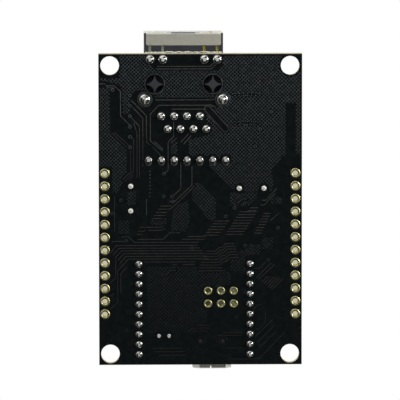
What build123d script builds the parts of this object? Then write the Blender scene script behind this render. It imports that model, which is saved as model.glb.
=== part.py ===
"""Network development board: a black circuit board that carries a shielded network jack,
two socket rows for a radio module, a seven-way socket, two crystals, a USB socket, three
integrated circuits and small chip parts.  Millimetres.  The origin is the centre of the four
mounting holes on the solder side, +Z points to the component side, and the jack is at -Y."""

import os
from math import cos, pi

from build123d import *

os.makedirs("parts", exist_ok=True)

# ---------------------------------------------------------------- driving dimensions
inch = 25.4
pitch = 0.1 * inch  # pitch of headers, pads and jack pins
fine_pitch = 2.0  # pitch of the radio sockets
upright = 90  # turn of a part that lies along Y

# circuit board
board_width = 40.15
board_length = 61.75
board_middle = (0.07, -0.1)  # the holes sit a little off the middle
board_thickness = 1.6
mount_spacing_x = 1.4 * inch
mount_spacing_y = 2.25 * inch
mount_hole_radius = 1.85
top = board_thickness  # the face that the components stand on

# gold plated holes
copper = 0.05  # how far a pad stands above the board
barrel_wall = 0.05
eyelet_sides = 8
edge_pad_radius = 1.0
edge_pad_hole_radius = 0.55
edge_pad_count = 12
edge_pad_x = 18.85
edge_pad_y = 6.7
programming_pad_radius = 0.84
programming_pad_hole_radius = 0.48
programming_centre = (4.1, 17.37)

# network jack
jack_x = -3.2
jack_width = 15.6
jack_height = 13.3
jack_length = 21.05
jack_front = -34.9
jack_back = jack_front + jack_length
sheet = 0.25  # thickness of the folded shield
shield_bend = 0.6  # outer radius of its two long folds
flap_length = 2.4  # the fold under the front edge
flap_width = 14.8
flap_corner = 0.4
side_foot = 0.5  # height of the plastic strip under each side of the shield
plug_floor = 0.8  # thickness of the housing under the keyway
cavity_width = 11.9
cavity_height = 6.9
cavity_base = top + 4.4
cavity_depth = 13.5
cavity_roof = cavity_base + cavity_height
cavity_end = jack_front + cavity_depth
latch_width = 6.6
latch_base = top + 2.9
keyway_width = 4.7
grip_centre = (jack_front + 4.65, top + 7.6)  # of the tongue in each side, along Y and up
grip_window = (5.0, 2.6)
grip_tongue = (4.4, 1.4)
grip_gap = 0.6  # between the tongue's tip and its window

# the jack's lights, posts and pins
light_width = 3.0
light_height = 2.2
light_base = top + 0.9
light_depth = 5.0
light_offset = 5.36  # of each light from the jack's middle
light_lead_offsets = (-6.63, -4.09, 4.09, 6.63)
light_lead_y = -29.75
light_lead_start = jack_front + 1.2
lead_thickness = 0.5
post_offset = 5.715
post_y = -24.95
post_radius = 1.625
post_hole_radius = 1.68
post_bite = 1.6  # radius of the hollows that give a post its star shape
post_tip = 0.08  # half the thickness left at each of its four tips
post_depth = 1.45  # how far a post reaches below the board
ground_leg_y = -21.9
ground_leg_width = 1.5
ground_leg_depth = 1.5
signal_rows_y = (-18.6, -16.06)
signal_count = 4  # in each row, the second row half a pitch to the side
signal_pin = 0.5
signal_pin_depth = 1.7
spring_count = 8
spring_pitch = 1.02
spring_width = 0.4
spring_thickness = 0.25
spring_fold_y = jack_front + 2.6
spring_fold_drop = 0.8
spring_tip_y = jack_front + 10.6
spring_tip_drop = 3.9

# socket strips
tail_depth = 1.35  # how far a socket's tails reach below the board
contact_base = 0.8
contact_leaf_share = 0.7  # height of a contact's leaves, as a share of the strip
radio_left_x = -12.1
radio_right_x = 9.9
radio_y = 19.7
radio_count = 10
radio_body = (2.2, 20.4, 4.6)
radio_cell = 0.9
radio_tail = 0.4
seven_centre = (-2.54, -10.0)
seven_count = 7
seven_body = (17.9, 2.54, 8.5)
seven_cell = 1.1
seven_tail = 0.6

# crystals
crystal_length = 11.05
crystal_width = 4.65
crystal_can_length = 10.2
crystal_can_width = 3.8
crystal_flange = 0.45
crystal_height = 3.5
crystal_edge = 0.45
crystal_lead_spacing = 4.88
crystal_lead_radius = 0.23
crystal_lead_depth = 0.9
controller_crystal_centre = (-13.7, -2.3)
network_crystal_centre = (10.2, -4.3)

# smoothing capacitor
capacitor_centre = (-7.17, 25.0)
capacitor_radius = 2.5
capacitor_height = 7.0
capacitor_edge = 0.3
capacitor_lead_spacing = 2.0
capacitor_lead_radius = 0.27
capacitor_lead_depth = 1.3
groove_level = 1.1
groove_depth = 0.3
groove_height = 0.8
wire_sides = 8  # of the thin round leads

# USB socket
usb_x = 2.4
usb_front = 31.75
usb_length = 9.2
usb_back = usb_front - usb_length
usb_width = 7.7
usb_height = 3.95
usb_wall = 0.3
usb_waist = 1.5  # height at which the sides start to taper in
usb_foot_width = 5.5
usb_foot = 0.25  # the shell stands a little above the board between its legs
usb_seam = 0.2  # gap where the folded shell's edges meet under the mouth
usb_seam_offset = -0.25
usb_leg_length = 1.9
usb_leg_reach = 1.0  # how far a leg spreads beside the shell
usb_leg_rows = (usb_front - 2.4, usb_back + 1.4)
usb_block_length = 5.0
usb_tongue_width = 3.6
usb_tongue_thickness = 0.7
usb_tongue_base = top + 2.2
usb_tongue_gap = 1.0  # from the tongue's tip to the mouth
usb_peg_spacing = 4.4
usb_peg_y = 26.0
usb_peg_radius = 0.45
usb_peg_hole_radius = 0.5
usb_peg_sides = 12
usb_peg_length = 1.3
usb_contact_count = 5
usb_contact_pitch = 0.8
usb_contact = (0.4, 3.0, 0.15)

# integrated circuits: centre, body and how far the body stands above the board
draft = 12  # slope of a moulded package's sides
lead_sheet = 0.15
knee_share = 0.3  # where a gull-wing lead turns down, as a share of its reach
heel_share = 0.5  # where it turns flat along the board
controller_centre = (-2.6, 2.6)
controller_body = (7.0, 7.0, 1.0)
controller_lift = 0.1
controller_leads_per_side = 8
controller_lead_pitch = 0.8
controller_lead_width = 0.37
controller_lead_reach = 1.0
network_chip_centre = (12.2, -14.6)
network_chip_body = (5.3, 10.2, 1.75)
network_chip_lift = 0.1
network_chip_leads_per_side = 14
network_chip_lead_pitch = 0.65
network_chip_lead_width = 0.3
network_chip_lead_reach = 1.25
regulator_centre = (12.8, 4.6)
regulator_body = (6.5, 3.5, 1.6)
regulator_lift = 0.05
regulator_lead_pitch = 2.3
regulator_lead_width = 0.7
regulator_tab_width = 3.0
regulator_lead_reach = 1.75

# chip parts
chip_length = 1.6
chip_width = 0.8
chip_cap = 0.3  # length of each soldered end
resistor_height = 0.45
ceramic_height = 0.75

# solder joints: radius of the foot, and height of the cone
solder_sides = 8
solder_tip_share = 0.42  # radius of a cone's tip, as a share of its foot
pin_joint = (0.82, 1.15)
light_joint = (0.85, 1.1)
ground_joint = (1.2, 1.1)
seven_joint = (0.82, 1.0)
radio_joint = (0.72, 0.95)
crystal_joint = (0.56, 0.7)
capacitor_joint = (0.7, 1.0)


# ---------------------------------------------------------------- places
def row(count, step, centre, along_y=False):
    """Points of a straight row about its centre."""
    x, y = centre
    offsets = [(i - (count - 1) / 2) * step for i in range(count)]
    return [(x, y + d) if along_y else (x + d, y) for d in offsets]


def mirrored(x_offset, y, middle=0.0):
    """Two points at the same distance left and right of a middle line."""
    return [(middle - x_offset, y), (middle + x_offset, y)]


def turned(places, turn):
    """The same points, with what stands there turned about Z."""
    return [Location(place, turn) for place in places]


half_mount_y = mount_spacing_y / 2
mount_places = mirrored(mount_spacing_x / 2, -half_mount_y) + mirrored(mount_spacing_x / 2, half_mount_y)
left_pad_places = row(edge_pad_count, pitch, (-edge_pad_x, edge_pad_y), along_y=True)
right_pad_places = row(edge_pad_count, pitch, (edge_pad_x, edge_pad_y), along_y=True)
programming_x, programming_y = programming_centre
programming_places = row(3, pitch, (programming_x, programming_y - pitch / 2)) + row(
    3, pitch, (programming_x, programming_y + pitch / 2)
)
post_places = mirrored(post_offset, post_y, jack_x)
ground_leg_places = mirrored(jack_width / 2 - sheet / 2, ground_leg_y, jack_x)
signal_places = row(signal_count, pitch, (jack_x - pitch / 4, signal_rows_y[0])) + row(
    signal_count, pitch, (jack_x + pitch / 4, signal_rows_y[1])
)
light_lead_places = [(jack_x + offset, light_lead_y) for offset in light_lead_offsets]
seven_places = row(seven_count, pitch, seven_centre)
radio_left_places = row(radio_count, fine_pitch, (radio_left_x, radio_y), along_y=True)
radio_right_places = row(radio_count, fine_pitch, (radio_right_x, radio_y), along_y=True)
controller_crystal_places = row(2, crystal_lead_spacing, controller_crystal_centre, along_y=True)
network_crystal_places = row(2, crystal_lead_spacing, network_crystal_centre)
capacitor_places = row(2, capacitor_lead_spacing, capacitor_centre)
usb_peg_places = mirrored(usb_peg_spacing / 2, usb_peg_y, usb_x)

built = []


def keep(name, part):
    """Label a finished piece and write its file."""
    part.label = name
    built.append(name)
    export_step(part, f"parts/{name}.step")


# ---------------------------------------------------------------- circuit board
with BuildPart() as circuit_board:
    with BuildSketch():
        with Locations(board_middle):
            Rectangle(board_width, board_length)
        with Locations(*mount_places):
            Circle(mount_hole_radius, mode=Mode.SUBTRACT)
        with Locations(*left_pad_places, *right_pad_places):
            RegularPolygon(edge_pad_hole_radius + barrel_wall, eyelet_sides, mode=Mode.SUBTRACT)
        with Locations(*programming_places):
            RegularPolygon(
                programming_pad_hole_radius + barrel_wall, eyelet_sides, mode=Mode.SUBTRACT
            )
        with Locations(*post_places):
            Circle(post_hole_radius, mode=Mode.SUBTRACT)
        with Locations(*usb_peg_places):
            RegularPolygon(usb_peg_hole_radius, usb_peg_sides, mode=Mode.SUBTRACT)
        with Locations(*ground_leg_places):
            Rectangle(sheet, ground_leg_width, mode=Mode.SUBTRACT)
        with Locations(*signal_places, *light_lead_places):
            Rectangle(signal_pin, signal_pin, mode=Mode.SUBTRACT)
        with Locations(*seven_places):
            Rectangle(seven_tail, seven_tail, mode=Mode.SUBTRACT)
        with Locations(*radio_left_places, *radio_right_places):
            Rectangle(radio_tail, radio_tail, mode=Mode.SUBTRACT)
        with Locations(*controller_crystal_places, *network_crystal_places):
            RegularPolygon(crystal_lead_radius, wire_sides, mode=Mode.SUBTRACT)
        with Locations(*capacitor_places):
            RegularPolygon(capacitor_lead_radius, wire_sides, mode=Mode.SUBTRACT)
    extrude(amount=board_thickness)
keep("circuit_board", circuit_board.part)


# ---------------------------------------------------------------- cones with flat sides
def cone(foot_radius, tip_radius, height, sides):
    """Faceted cone under the board: its foot lies on z = 0 and its tip points down."""
    rim = 0.1  # the prism starts this far above the foot, and the split takes it off
    with BuildPart() as one:
        with BuildSketch(Plane.XY.offset(rim)):
            RegularPolygon(foot_radius, sides)
        extrude(amount=-(height + rim))
        tip = one.faces().sort_by(Axis.Z)[0]
        narrowing = (foot_radius - tip_radius) * cos(pi / sides)
        chamfer(tip.edges(), length=narrowing, length2=height, reference=tip)
        split(bisect_by=Plane.XY, keep=Keep.BOTTOM)
    return one.part


# ---------------------------------------------------------------- gold plated holes
def eyelet(pad_radius, hole_radius):
    """A ring on each face of the board that rises to its hole, and a barrel between them."""
    with BuildPart() as one:
        add(cone(pad_radius, hole_radius, copper, eyelet_sides))
        with BuildSketch():
            RegularPolygon(hole_radius + barrel_wall, eyelet_sides)
        extrude(amount=board_thickness / 2)
        mirror(about=Plane.XY.offset(board_thickness / 2))
        with BuildSketch(Plane.XY.offset(-copper)):
            RegularPolygon(hole_radius, eyelet_sides)
        extrude(amount=board_thickness + 2 * copper, mode=Mode.SUBTRACT)
    return one.part


def copies(part, places):
    """The same small part at each place, kept as separate solids of one node."""
    with BuildPart() as group:
        with Locations(*places):
            add(part)
    return group.part


edge_eyelet = eyelet(edge_pad_radius, edge_pad_hole_radius)
programming_eyelet = eyelet(programming_pad_radius, programming_pad_hole_radius)
keep("left_edge_pads", copies(edge_eyelet, left_pad_places))
keep("right_edge_pads", copies(edge_eyelet, right_pad_places))
keep("programming_pads", copies(programming_eyelet, programming_places))

# ---------------------------------------------------------------- network jack
front_plane = Plane(origin=(jack_x, jack_front, 0), x_dir=(1, 0, 0), z_dir=(0, -1, 0))
inside_plane = Plane(origin=(jack_x, jack_front + sheet, 0), x_dir=(1, 0, 0), z_dir=(0, -1, 0))
inside_length = jack_length - 2 * sheet
light_places = mirrored(light_offset, light_base)


def jack_section(inset):
    """Outline of the jack from the front: square at the board, rounded along its top."""
    with BuildSketch() as section:
        with Locations((0, top)):
            Rectangle(
                jack_width - 2 * inset, jack_height - inset, align=(Align.CENTER, Align.MIN)
            )
        fillet(section.vertices().group_by(Axis.Y)[-1], shield_bend - inset)
    return section.sketch


def draw_plug_opening(keyway_base):
    """Stepped outline of a network plug with its latch underneath."""
    with Locations((0, cavity_base)):
        Rectangle(cavity_width, cavity_height, align=(Align.CENTER, Align.MIN))
    with Locations((0, latch_base)):
        Rectangle(latch_width, cavity_base - latch_base, align=(Align.CENTER, Align.MIN))
    with Locations((0, keyway_base)):
        Rectangle(keyway_width, latch_base - keyway_base, align=(Align.CENTER, Align.MIN))


def draw_lights():
    """Outline of the two lights beside the latch."""
    with Locations(*light_places):
        Rectangle(light_width, light_height, align=(Align.CENTER, Align.MIN))


def flap_outline():
    """Flap that the shield folds under the front edge, with its back corners rounded."""
    with BuildSketch() as outline:
        with Locations((jack_x, jack_front + flap_length / 2)):
            Rectangle(flap_width, flap_length)
        fillet(outline.vertices().group_by(Axis.Y)[-1], flap_corner)
    return outline.sketch


def draw_side_strips(start, end):
    """Ground covered by the plastic strips under the shield's two sides, from one Y to another."""
    strip = (jack_width - flap_width) / 2
    with Locations(*mirrored((jack_width - strip) / 2, (start + end) / 2, jack_x)):
        Rectangle(strip, end - start)


with BuildPart() as network_jack_shield:
    # folded sheet, open underneath apart from the flap behind the front edge
    with BuildSketch(front_plane):
        add(jack_section(0))
    extrude(amount=-jack_length)
    with BuildSketch(inside_plane):
        add(jack_section(sheet))
    extrude(amount=-inside_length, mode=Mode.SUBTRACT)
    with BuildSketch(Plane.XY.offset(top)):
        draw_side_strips(jack_front, jack_back)
    extrude(amount=side_foot, mode=Mode.SUBTRACT)
    with BuildSketch(Plane.XY.offset(top)):
        add(flap_outline())
    extrude(amount=sheet)
    with BuildSketch(Plane(origin=(jack_x, jack_front, top), x_dir=(0, 1, 0), z_dir=(1, 0, 0))):
        Rectangle(sheet, sheet, align=(Align.MIN, Align.MIN))
        with Locations((sheet, sheet)):
            Circle(sheet, mode=Mode.SUBTRACT)
    extrude(amount=flap_width / 2, both=True, mode=Mode.SUBTRACT)
    # plug opening and light windows in the front plate
    with BuildSketch(front_plane):
        draw_plug_opening(top)
        draw_lights()
    extrude(amount=-sheet, mode=Mode.SUBTRACT)
    # the keyway runs on a little way into the flap
    with BuildSketch(Plane.XY.offset(top)):
        with Locations((jack_x, jack_front + sheet)):
            Rectangle(keyway_width, 2 * sheet)
    extrude(amount=sheet, mode=Mode.SUBTRACT)
    # ground legs that pass through the board
    with BuildSketch(Plane.XY.offset(top + side_foot)):
        with Locations(*ground_leg_places):
            Rectangle(sheet, ground_leg_width)
    extrude(amount=-(side_foot + board_thickness + ground_leg_depth))
    # a springy tongue cut free on three sides in each side wall
    with BuildSketch(Plane(origin=(jack_x, *grip_centre), x_dir=(0, 1, 0), z_dir=(1, 0, 0))):
        Rectangle(*grip_window)
        Rectangle(*grip_tongue, mode=Mode.SUBTRACT)
        with Locations((-grip_tongue[0] / 2, 0)):
            Rectangle(grip_gap, grip_tongue[1], mode=Mode.SUBTRACT)
    extrude(amount=jack_width / 2, both=True, mode=Mode.SUBTRACT)
keep("network_jack_shield", network_jack_shield.part)

def draw_leg_notches():
    """Room for the shield's legs where they pass the plastic strips."""
    with Locations(*ground_leg_places):
        Rectangle(sheet, ground_leg_width)


with BuildPart() as network_jack_housing:
    with BuildSketch(inside_plane):
        add(jack_section(sheet))
    extrude(amount=sheet - cavity_depth)
    with BuildSketch(Plane.XY.offset(top)):
        draw_side_strips(jack_front, cavity_end)
    extrude(amount=side_foot)
    # room for the shield's legs and flap, and for the plug
    with BuildSketch(Plane.XY.offset(top)):
        draw_leg_notches()
    extrude(amount=side_foot, mode=Mode.SUBTRACT)
    with BuildSketch(Plane.XY.offset(top)):
        add(flap_outline())
    extrude(amount=sheet, mode=Mode.SUBTRACT)
    with BuildSketch(front_plane):
        draw_plug_opening(top + plug_floor)
    extrude(amount=-cavity_depth, mode=Mode.SUBTRACT)
    with BuildSketch(front_plane):
        draw_lights()
    extrude(amount=-(sheet + light_depth), mode=Mode.SUBTRACT)
    # grooves for the leads of the lights
    with BuildSketch(Plane.XY.offset(top)):
        with Locations(*[(x, y + lead_thickness / 2) for x, y in light_lead_places]):
            Rectangle(
                lead_thickness,
                light_lead_y + lead_thickness / 2 - (jack_front + sheet),
                align=(Align.CENTER, Align.MAX),
            )
    extrude(amount=light_base - top, mode=Mode.SUBTRACT)
    # star-shaped locating posts
    with BuildSketch(Plane.XY.offset(top)):
        with Locations(*post_places):
            Circle(post_radius)
            with PolarLocations((post_bite + post_tip) * 2**0.5, 4, start_angle=45):
                Circle(post_bite, mode=Mode.SUBTRACT)
    extrude(amount=-(board_thickness + post_depth))
keep("network_jack_housing", network_jack_housing.part)

# block of windings that closes the housing's open back
with BuildPart() as network_jack_insert:
    with BuildSketch(Plane(origin=(jack_x, cavity_end, 0), x_dir=(1, 0, 0), z_dir=(0, -1, 0))):
        add(jack_section(sheet))
    extrude(amount=cavity_end - (jack_back - sheet))
    with BuildSketch(Plane.XY.offset(top)):
        draw_side_strips(cavity_end, jack_back)
    extrude(amount=side_foot)
    with BuildSketch(Plane.XY.offset(top)):
        draw_leg_notches()
    extrude(amount=side_foot, mode=Mode.SUBTRACT)
keep("network_jack_insert", network_jack_insert.part)

# spring contacts: each runs forward along the roof of the cavity and folds back into it
with BuildPart() as network_jack_springs:
    for x, _ in row(spring_count, spring_pitch, (jack_x, 0)):
        with BuildSketch(Plane(origin=(x, 0, 0), x_dir=(0, 1, 0), z_dir=(1, 0, 0))):
            with BuildLine():
                Polyline(
                    (cavity_end, cavity_roof - spring_thickness / 2),
                    (spring_fold_y, cavity_roof - spring_thickness / 2),
                    (spring_fold_y, cavity_roof - spring_fold_drop),
                    (spring_tip_y, cavity_roof - spring_tip_drop),
                )
            trace(line_width=spring_thickness)
        extrude(amount=spring_width / 2, both=True)
keep("network_jack_springs", network_jack_springs.part)

with BuildPart() as network_jack_pins:
    with BuildSketch(Plane.XY.offset(-signal_pin_depth)):
        with Locations(*signal_places):
            Rectangle(signal_pin, signal_pin)
    extrude(amount=signal_pin_depth + top)
keep("network_jack_pins", network_jack_pins.part)


def jack_light(place):
    """Moulded lens that fills its window and pocket beside the latch."""
    with BuildPart() as lens:
        with BuildSketch(front_plane):
            with Locations(place):
                Rectangle(light_width, light_height, align=(Align.CENTER, Align.MIN))
        extrude(amount=-(sheet + light_depth))
    return lens.part


def light_leads(places):
    """Wires that leave a light, run back under the housing and turn down."""
    level = light_base - lead_thickness / 2
    with BuildPart() as leads:
        for x, y in places:
            with BuildSketch(Plane(origin=(x, 0, 0), x_dir=(0, 1, 0), z_dir=(1, 0, 0))):
                with BuildLine():
                    Polyline((light_lead_start, level), (y, level), (y, -signal_pin_depth))
                trace(line_width=lead_thickness)
            extrude(amount=lead_thickness / 2, both=True)
    return leads.part


keep("link_light", jack_light(light_places[0]))
keep("activity_light", jack_light(light_places[1]))
keep("link_light_leads", light_leads(light_lead_places[:2]))
keep("activity_light_leads", light_leads(light_lead_places[2:]))


# ---------------------------------------------------------------- socket strips
def socket_body(centre, size, places, cell):
    """Moulded strip with one square cell for each contact."""
    width, length, height = size
    with BuildPart() as body:
        with BuildSketch(Plane.XY.offset(top)):
            with Locations(centre):
                Rectangle(width, length)
            with Locations(*places):
                Rectangle(cell, cell, mode=Mode.SUBTRACT)
        extrude(amount=height)
    return body.part


def socket_contacts(places, cell, height, tail):
    """Fork contacts: a base that fills its cell, two leaves above it and a tail below."""
    leaf = cell / 5
    with BuildPart() as contacts:
        with BuildSketch(Plane.XY.offset(top)):
            with Locations(*places):
                Rectangle(cell, cell)
        extrude(amount=contact_base)
        with BuildSketch(Plane.XY.offset(top + contact_base)):
            with Locations(*places):
                Rectangle(cell, cell)
                Rectangle(cell - 2 * leaf, cell, mode=Mode.SUBTRACT)
        extrude(amount=height * contact_leaf_share)
        with BuildSketch(Plane.XY.offset(top)):
            with Locations(*places):
                Rectangle(tail, tail)
        extrude(amount=-(board_thickness + tail_depth))
    return contacts.part


radio_rows = {
    "radio_socket_left": ((radio_left_x, radio_y), radio_left_places),
    "radio_socket_right": ((radio_right_x, radio_y), radio_right_places),
}
for name, (centre, places) in radio_rows.items():
    keep(name, socket_body(centre, radio_body, places, radio_cell))
    keep(f"{name}_contacts", socket_contacts(places, radio_cell, radio_body[2], radio_tail))

keep("seven_way_socket", socket_body(seven_centre, seven_body, seven_places, seven_cell))
keep(
    "seven_way_socket_contacts",
    socket_contacts(seven_places, seven_cell, seven_body[2], seven_tail),
)


# ---------------------------------------------------------------- crystals
def crystal_can(centre, turn):
    """Pressed can on a wider flange, both with round ends."""
    with BuildPart() as can:
        with BuildSketch(Plane.XY.offset(top)):
            with Locations(Location(centre, turn)):
                SlotOverall(crystal_length, crystal_width)
        extrude(amount=crystal_flange)
        with BuildSketch(Plane.XY.offset(top)):
            with Locations(Location(centre, turn)):
                SlotOverall(crystal_can_length, crystal_can_width)
        extrude(amount=crystal_height)
        chamfer(can.faces().sort_by(Axis.Z)[-1].edges(), crystal_edge)
    return can.part


def thin_leads(places, radius, depth):
    """Straight thin wires through the board."""
    with BuildPart() as leads:
        with BuildSketch(Plane.XY.offset(-depth)):
            with Locations(*places):
                RegularPolygon(radius, wire_sides)
        extrude(amount=depth + top)
    return leads.part


keep("controller_crystal", crystal_can(controller_crystal_centre, upright))
keep("network_crystal", crystal_can(network_crystal_centre, 0))
crystal_rows = {
    "controller_crystal_leads": controller_crystal_places,
    "network_crystal_leads": network_crystal_places,
}
for name, places in crystal_rows.items():
    keep(name, thin_leads(places, crystal_lead_radius, crystal_lead_depth))

# ---------------------------------------------------------------- smoothing capacitor
capacitor_plane = Plane(origin=(*capacitor_centre, top), x_dir=(1, 0, 0), z_dir=(0, -1, 0))
with BuildPart() as smoothing_capacitor:
    with BuildSketch(capacitor_plane):
        with BuildLine():
            Polyline(
                (0, 0),
                (capacitor_radius, 0),
                (capacitor_radius, groove_level),
                (capacitor_radius - groove_depth, groove_level + groove_height / 2),
                (capacitor_radius, groove_level + groove_height),
                (capacitor_radius, capacitor_height - capacitor_edge),
                (capacitor_radius - capacitor_edge, capacitor_height),
                (0, capacitor_height),
                close=True,
            )
        make_face()
    revolve(axis=Axis((*capacitor_centre, 0), (0, 0, 1)))
keep("smoothing_capacitor", smoothing_capacitor.part)
keep(
    "smoothing_capacitor_leads",
    thin_leads(capacitor_places, capacitor_lead_radius, capacitor_lead_depth),
)

# ---------------------------------------------------------------- USB socket
usb_front_plane = Plane(origin=(usb_x, usb_front, 0), x_dir=(-1, 0, 0), z_dir=(0, 1, 0))
usb_back_plane = Plane(origin=(usb_x, usb_back, 0), x_dir=(-1, 0, 0), z_dir=(0, 1, 0))
usb_leg_places = [place for y in usb_leg_rows for place in mirrored(usb_width / 2, y, usb_x)]


def usb_section(inset):
    """Socket section: straight upper sides that taper in towards the board."""
    half = usb_width / 2 - inset
    foot = usb_foot_width / 2 - inset / 2
    low = top + usb_foot + inset
    with BuildSketch() as section:
        with BuildLine():
            Polyline(
                (-foot, low),
                (foot, low),
                (half, top + usb_waist),
                (half, top + usb_height - inset),
                (-half, top + usb_height - inset),
                (-half, top + usb_waist),
                close=True,
            )
        make_face()
    return section.sketch


def draw_usb_foot():
    """Opening in the shell's floor that the insert's foot fills."""
    with Locations((usb_x, usb_back)):
        Rectangle(
            usb_foot_width - 2 * usb_wall, usb_block_length, align=(Align.CENTER, Align.MIN)
        )


with BuildPart() as usb_shell:
    with BuildSketch(usb_front_plane):
        add(usb_section(0))
    extrude(amount=-usb_length)
    with BuildSketch(usb_front_plane):
        add(usb_section(usb_wall))
    extrude(amount=-usb_length, mode=Mode.SUBTRACT)
    # the floor stops short of the insert, and its folded edges meet in front of it
    with BuildSketch(Plane.XY.offset(top)):
        draw_usb_foot()
        with Locations((usb_x + usb_seam_offset, usb_front)):
            Rectangle(usb_seam, usb_length - usb_block_length, align=(Align.CENTER, Align.MAX))
    extrude(amount=usb_foot + usb_wall, mode=Mode.SUBTRACT)
    # four legs: flat on the board beside the shell, and up along its sides
    with BuildSketch(Plane.XY.offset(top)):
        with Locations(*usb_leg_places):
            Rectangle(2 * usb_leg_reach, usb_leg_length)
        with Locations(*[(usb_x, y) for y in usb_leg_rows]):
            Rectangle(usb_width - 2 * usb_wall, usb_leg_length, mode=Mode.SUBTRACT)
    extrude(amount=usb_wall)
    with BuildSketch(Plane.XY.offset(top)):
        for y in usb_leg_rows:
            with Locations(*mirrored((usb_width - usb_wall) / 2, y, usb_x)):
                Rectangle(usb_wall, usb_leg_length)
    extrude(amount=usb_waist)
keep("usb_shell", usb_shell.part)

with BuildPart() as usb_insert:
    with BuildSketch(usb_back_plane):
        add(usb_section(usb_wall))
    extrude(amount=usb_block_length)
    with BuildSketch(Plane.XY.offset(usb_tongue_base)):
        with Locations((usb_x, usb_front - usb_tongue_gap)):
            Rectangle(
                usb_tongue_width,
                usb_length - usb_block_length / 2 - usb_tongue_gap,
                align=(Align.CENTER, Align.MAX),
            )
    extrude(amount=usb_tongue_thickness)
    # foot and locating pegs under the block
    with BuildSketch(Plane.XY.offset(top)):
        draw_usb_foot()
    extrude(amount=usb_foot + usb_wall)
    with BuildSketch(Plane.XY.offset(top)):
        with Locations(*usb_peg_places):
            RegularPolygon(usb_peg_radius, usb_peg_sides)
    extrude(amount=-usb_peg_length)
keep("usb_insert", usb_insert.part)

usb_contact_width, usb_contact_length, usb_contact_thickness = usb_contact
usb_contact_places = row(usb_contact_count, usb_contact_pitch, (usb_x, usb_back + usb_block_length))
with BuildPart() as usb_contacts:
    with BuildSketch(Plane.XY.offset(usb_tongue_base)):
        with Locations(*usb_contact_places):
            Rectangle(usb_contact_width, usb_contact_length, align=(Align.CENTER, Align.MIN))
    extrude(amount=-usb_contact_thickness)
keep("usb_contacts", usb_contacts.part)


# ---------------------------------------------------------------- integrated circuits
def chip_body(centre, size, lift):
    """Moulded package: the rim at mid height stands out and both faces are drafted in."""
    width, length, height = size
    with BuildPart() as body:
        with BuildSketch(Plane.XY.offset(top + lift + height / 2)):
            with Locations(centre):
                Rectangle(width, length)
        extrude(amount=height / 2, both=True, taper=draft)
    return body.part


def gull_wing(reach, shoulder, width):
    """One lead: out of the body, down to the board and flat along it, pointing along +X."""
    with BuildPart() as lead:
        with BuildSketch(Plane.XZ):
            with BuildLine():
                Polyline(
                    (0, shoulder),
                    (reach * knee_share, shoulder),
                    (reach * heel_share, lead_sheet / 2),
                    (reach, lead_sheet / 2),
                )
            trace(line_width=lead_sheet)
        extrude(amount=width / 2, both=True)
    return lead.part


def side_leads(lead, centre, half_body, turns, offsets):
    """Copies of a lead along the sides of a package that face the given turns."""
    with BuildPart() as leads:
        with Locations((*centre, top)):
            for turn in turns:
                with Locations(Location((0, 0, 0), (0, 0, turn))):
                    with Locations(*[(half_body, offset) for offset in offsets]):
                        add(lead)
    return leads.part


def offsets_of(count, step):
    return [x for x, _ in row(count, step, (0, 0))]


all_round = (0, 90, 180, 270)
left_and_right = (0, 180)

keep("microcontroller", chip_body(controller_centre, controller_body, controller_lift))
controller_lead = gull_wing(
    controller_lead_reach, controller_lift + controller_body[2] / 2, controller_lead_width
)
keep(
    "microcontroller_leads",
    side_leads(
        controller_lead,
        controller_centre,
        controller_body[0] / 2,
        all_round,
        offsets_of(controller_leads_per_side, controller_lead_pitch),
    ),
)

keep("network_controller", chip_body(network_chip_centre, network_chip_body, network_chip_lift))
network_chip_lead = gull_wing(
    network_chip_lead_reach,
    network_chip_lift + network_chip_body[2] / 2,
    network_chip_lead_width,
)
keep(
    "network_controller_leads",
    side_leads(
        network_chip_lead,
        network_chip_centre,
        network_chip_body[0] / 2,
        left_and_right,
        offsets_of(network_chip_leads_per_side, network_chip_lead_pitch),
    ),
)

keep("voltage_regulator", chip_body(regulator_centre, regulator_body, regulator_lift))
regulator_shoulder = regulator_lift + regulator_body[2] / 2
regulator_lead = gull_wing(regulator_lead_reach, regulator_shoulder, regulator_lead_width)
regulator_tab = gull_wing(regulator_lead_reach, regulator_shoulder, regulator_tab_width)
with BuildPart() as voltage_regulator_leads:
    add(
        side_leads(
            regulator_lead,
            regulator_centre,
            regulator_body[1] / 2,
            (-upright,),
            offsets_of(3, regulator_lead_pitch),
        )
    )
    add(side_leads(regulator_tab, regulator_centre, regulator_body[1] / 2, (upright,), (0,)))
keep("voltage_regulator_leads", voltage_regulator_leads.part)

# ---------------------------------------------------------------- chip parts
resistor_spots = turned(
    row(2, 2.6, (-14.1, 9.0)) + row(3, 2.6, (11.2, 9.0)) + row(3, 1.8, (6.0, -24.6), along_y=True), 0
) + turned(row(2, 1.8, (-5.7, 12.4)), upright)
ceramic_spots = turned(
    row(3, 3.6, (-8.6, 2.6), along_y=True) + row(3, 3.6, (3.4, 2.6), along_y=True), 0
) + turned(row(4, 2.6, (12.3, -22.2)) + row(2, 10.4, (12.8, 1.2)), upright)
indicator_spots = turned(row(2, 1.8, (13.7, 14.0)), upright)


def chip_bodies(spots, height):
    """Bare middles of a group of two-ended chip parts."""
    with BuildPart() as chips:
        with BuildSketch(Plane.XY.offset(top)):
            with Locations(*spots):
                Rectangle(chip_length - 2 * chip_cap, chip_width)
        extrude(amount=height)
    return chips.part


def chip_ends(spots, height):
    """The soldered ends of the same parts."""
    with BuildPart() as chips:
        with BuildSketch(Plane.XY.offset(top)):
            with Locations(*spots):
                with Locations(*mirrored((chip_length - chip_cap) / 2, 0)):
                    Rectangle(chip_cap, chip_width)
        extrude(amount=height)
    return chips.part


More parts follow.
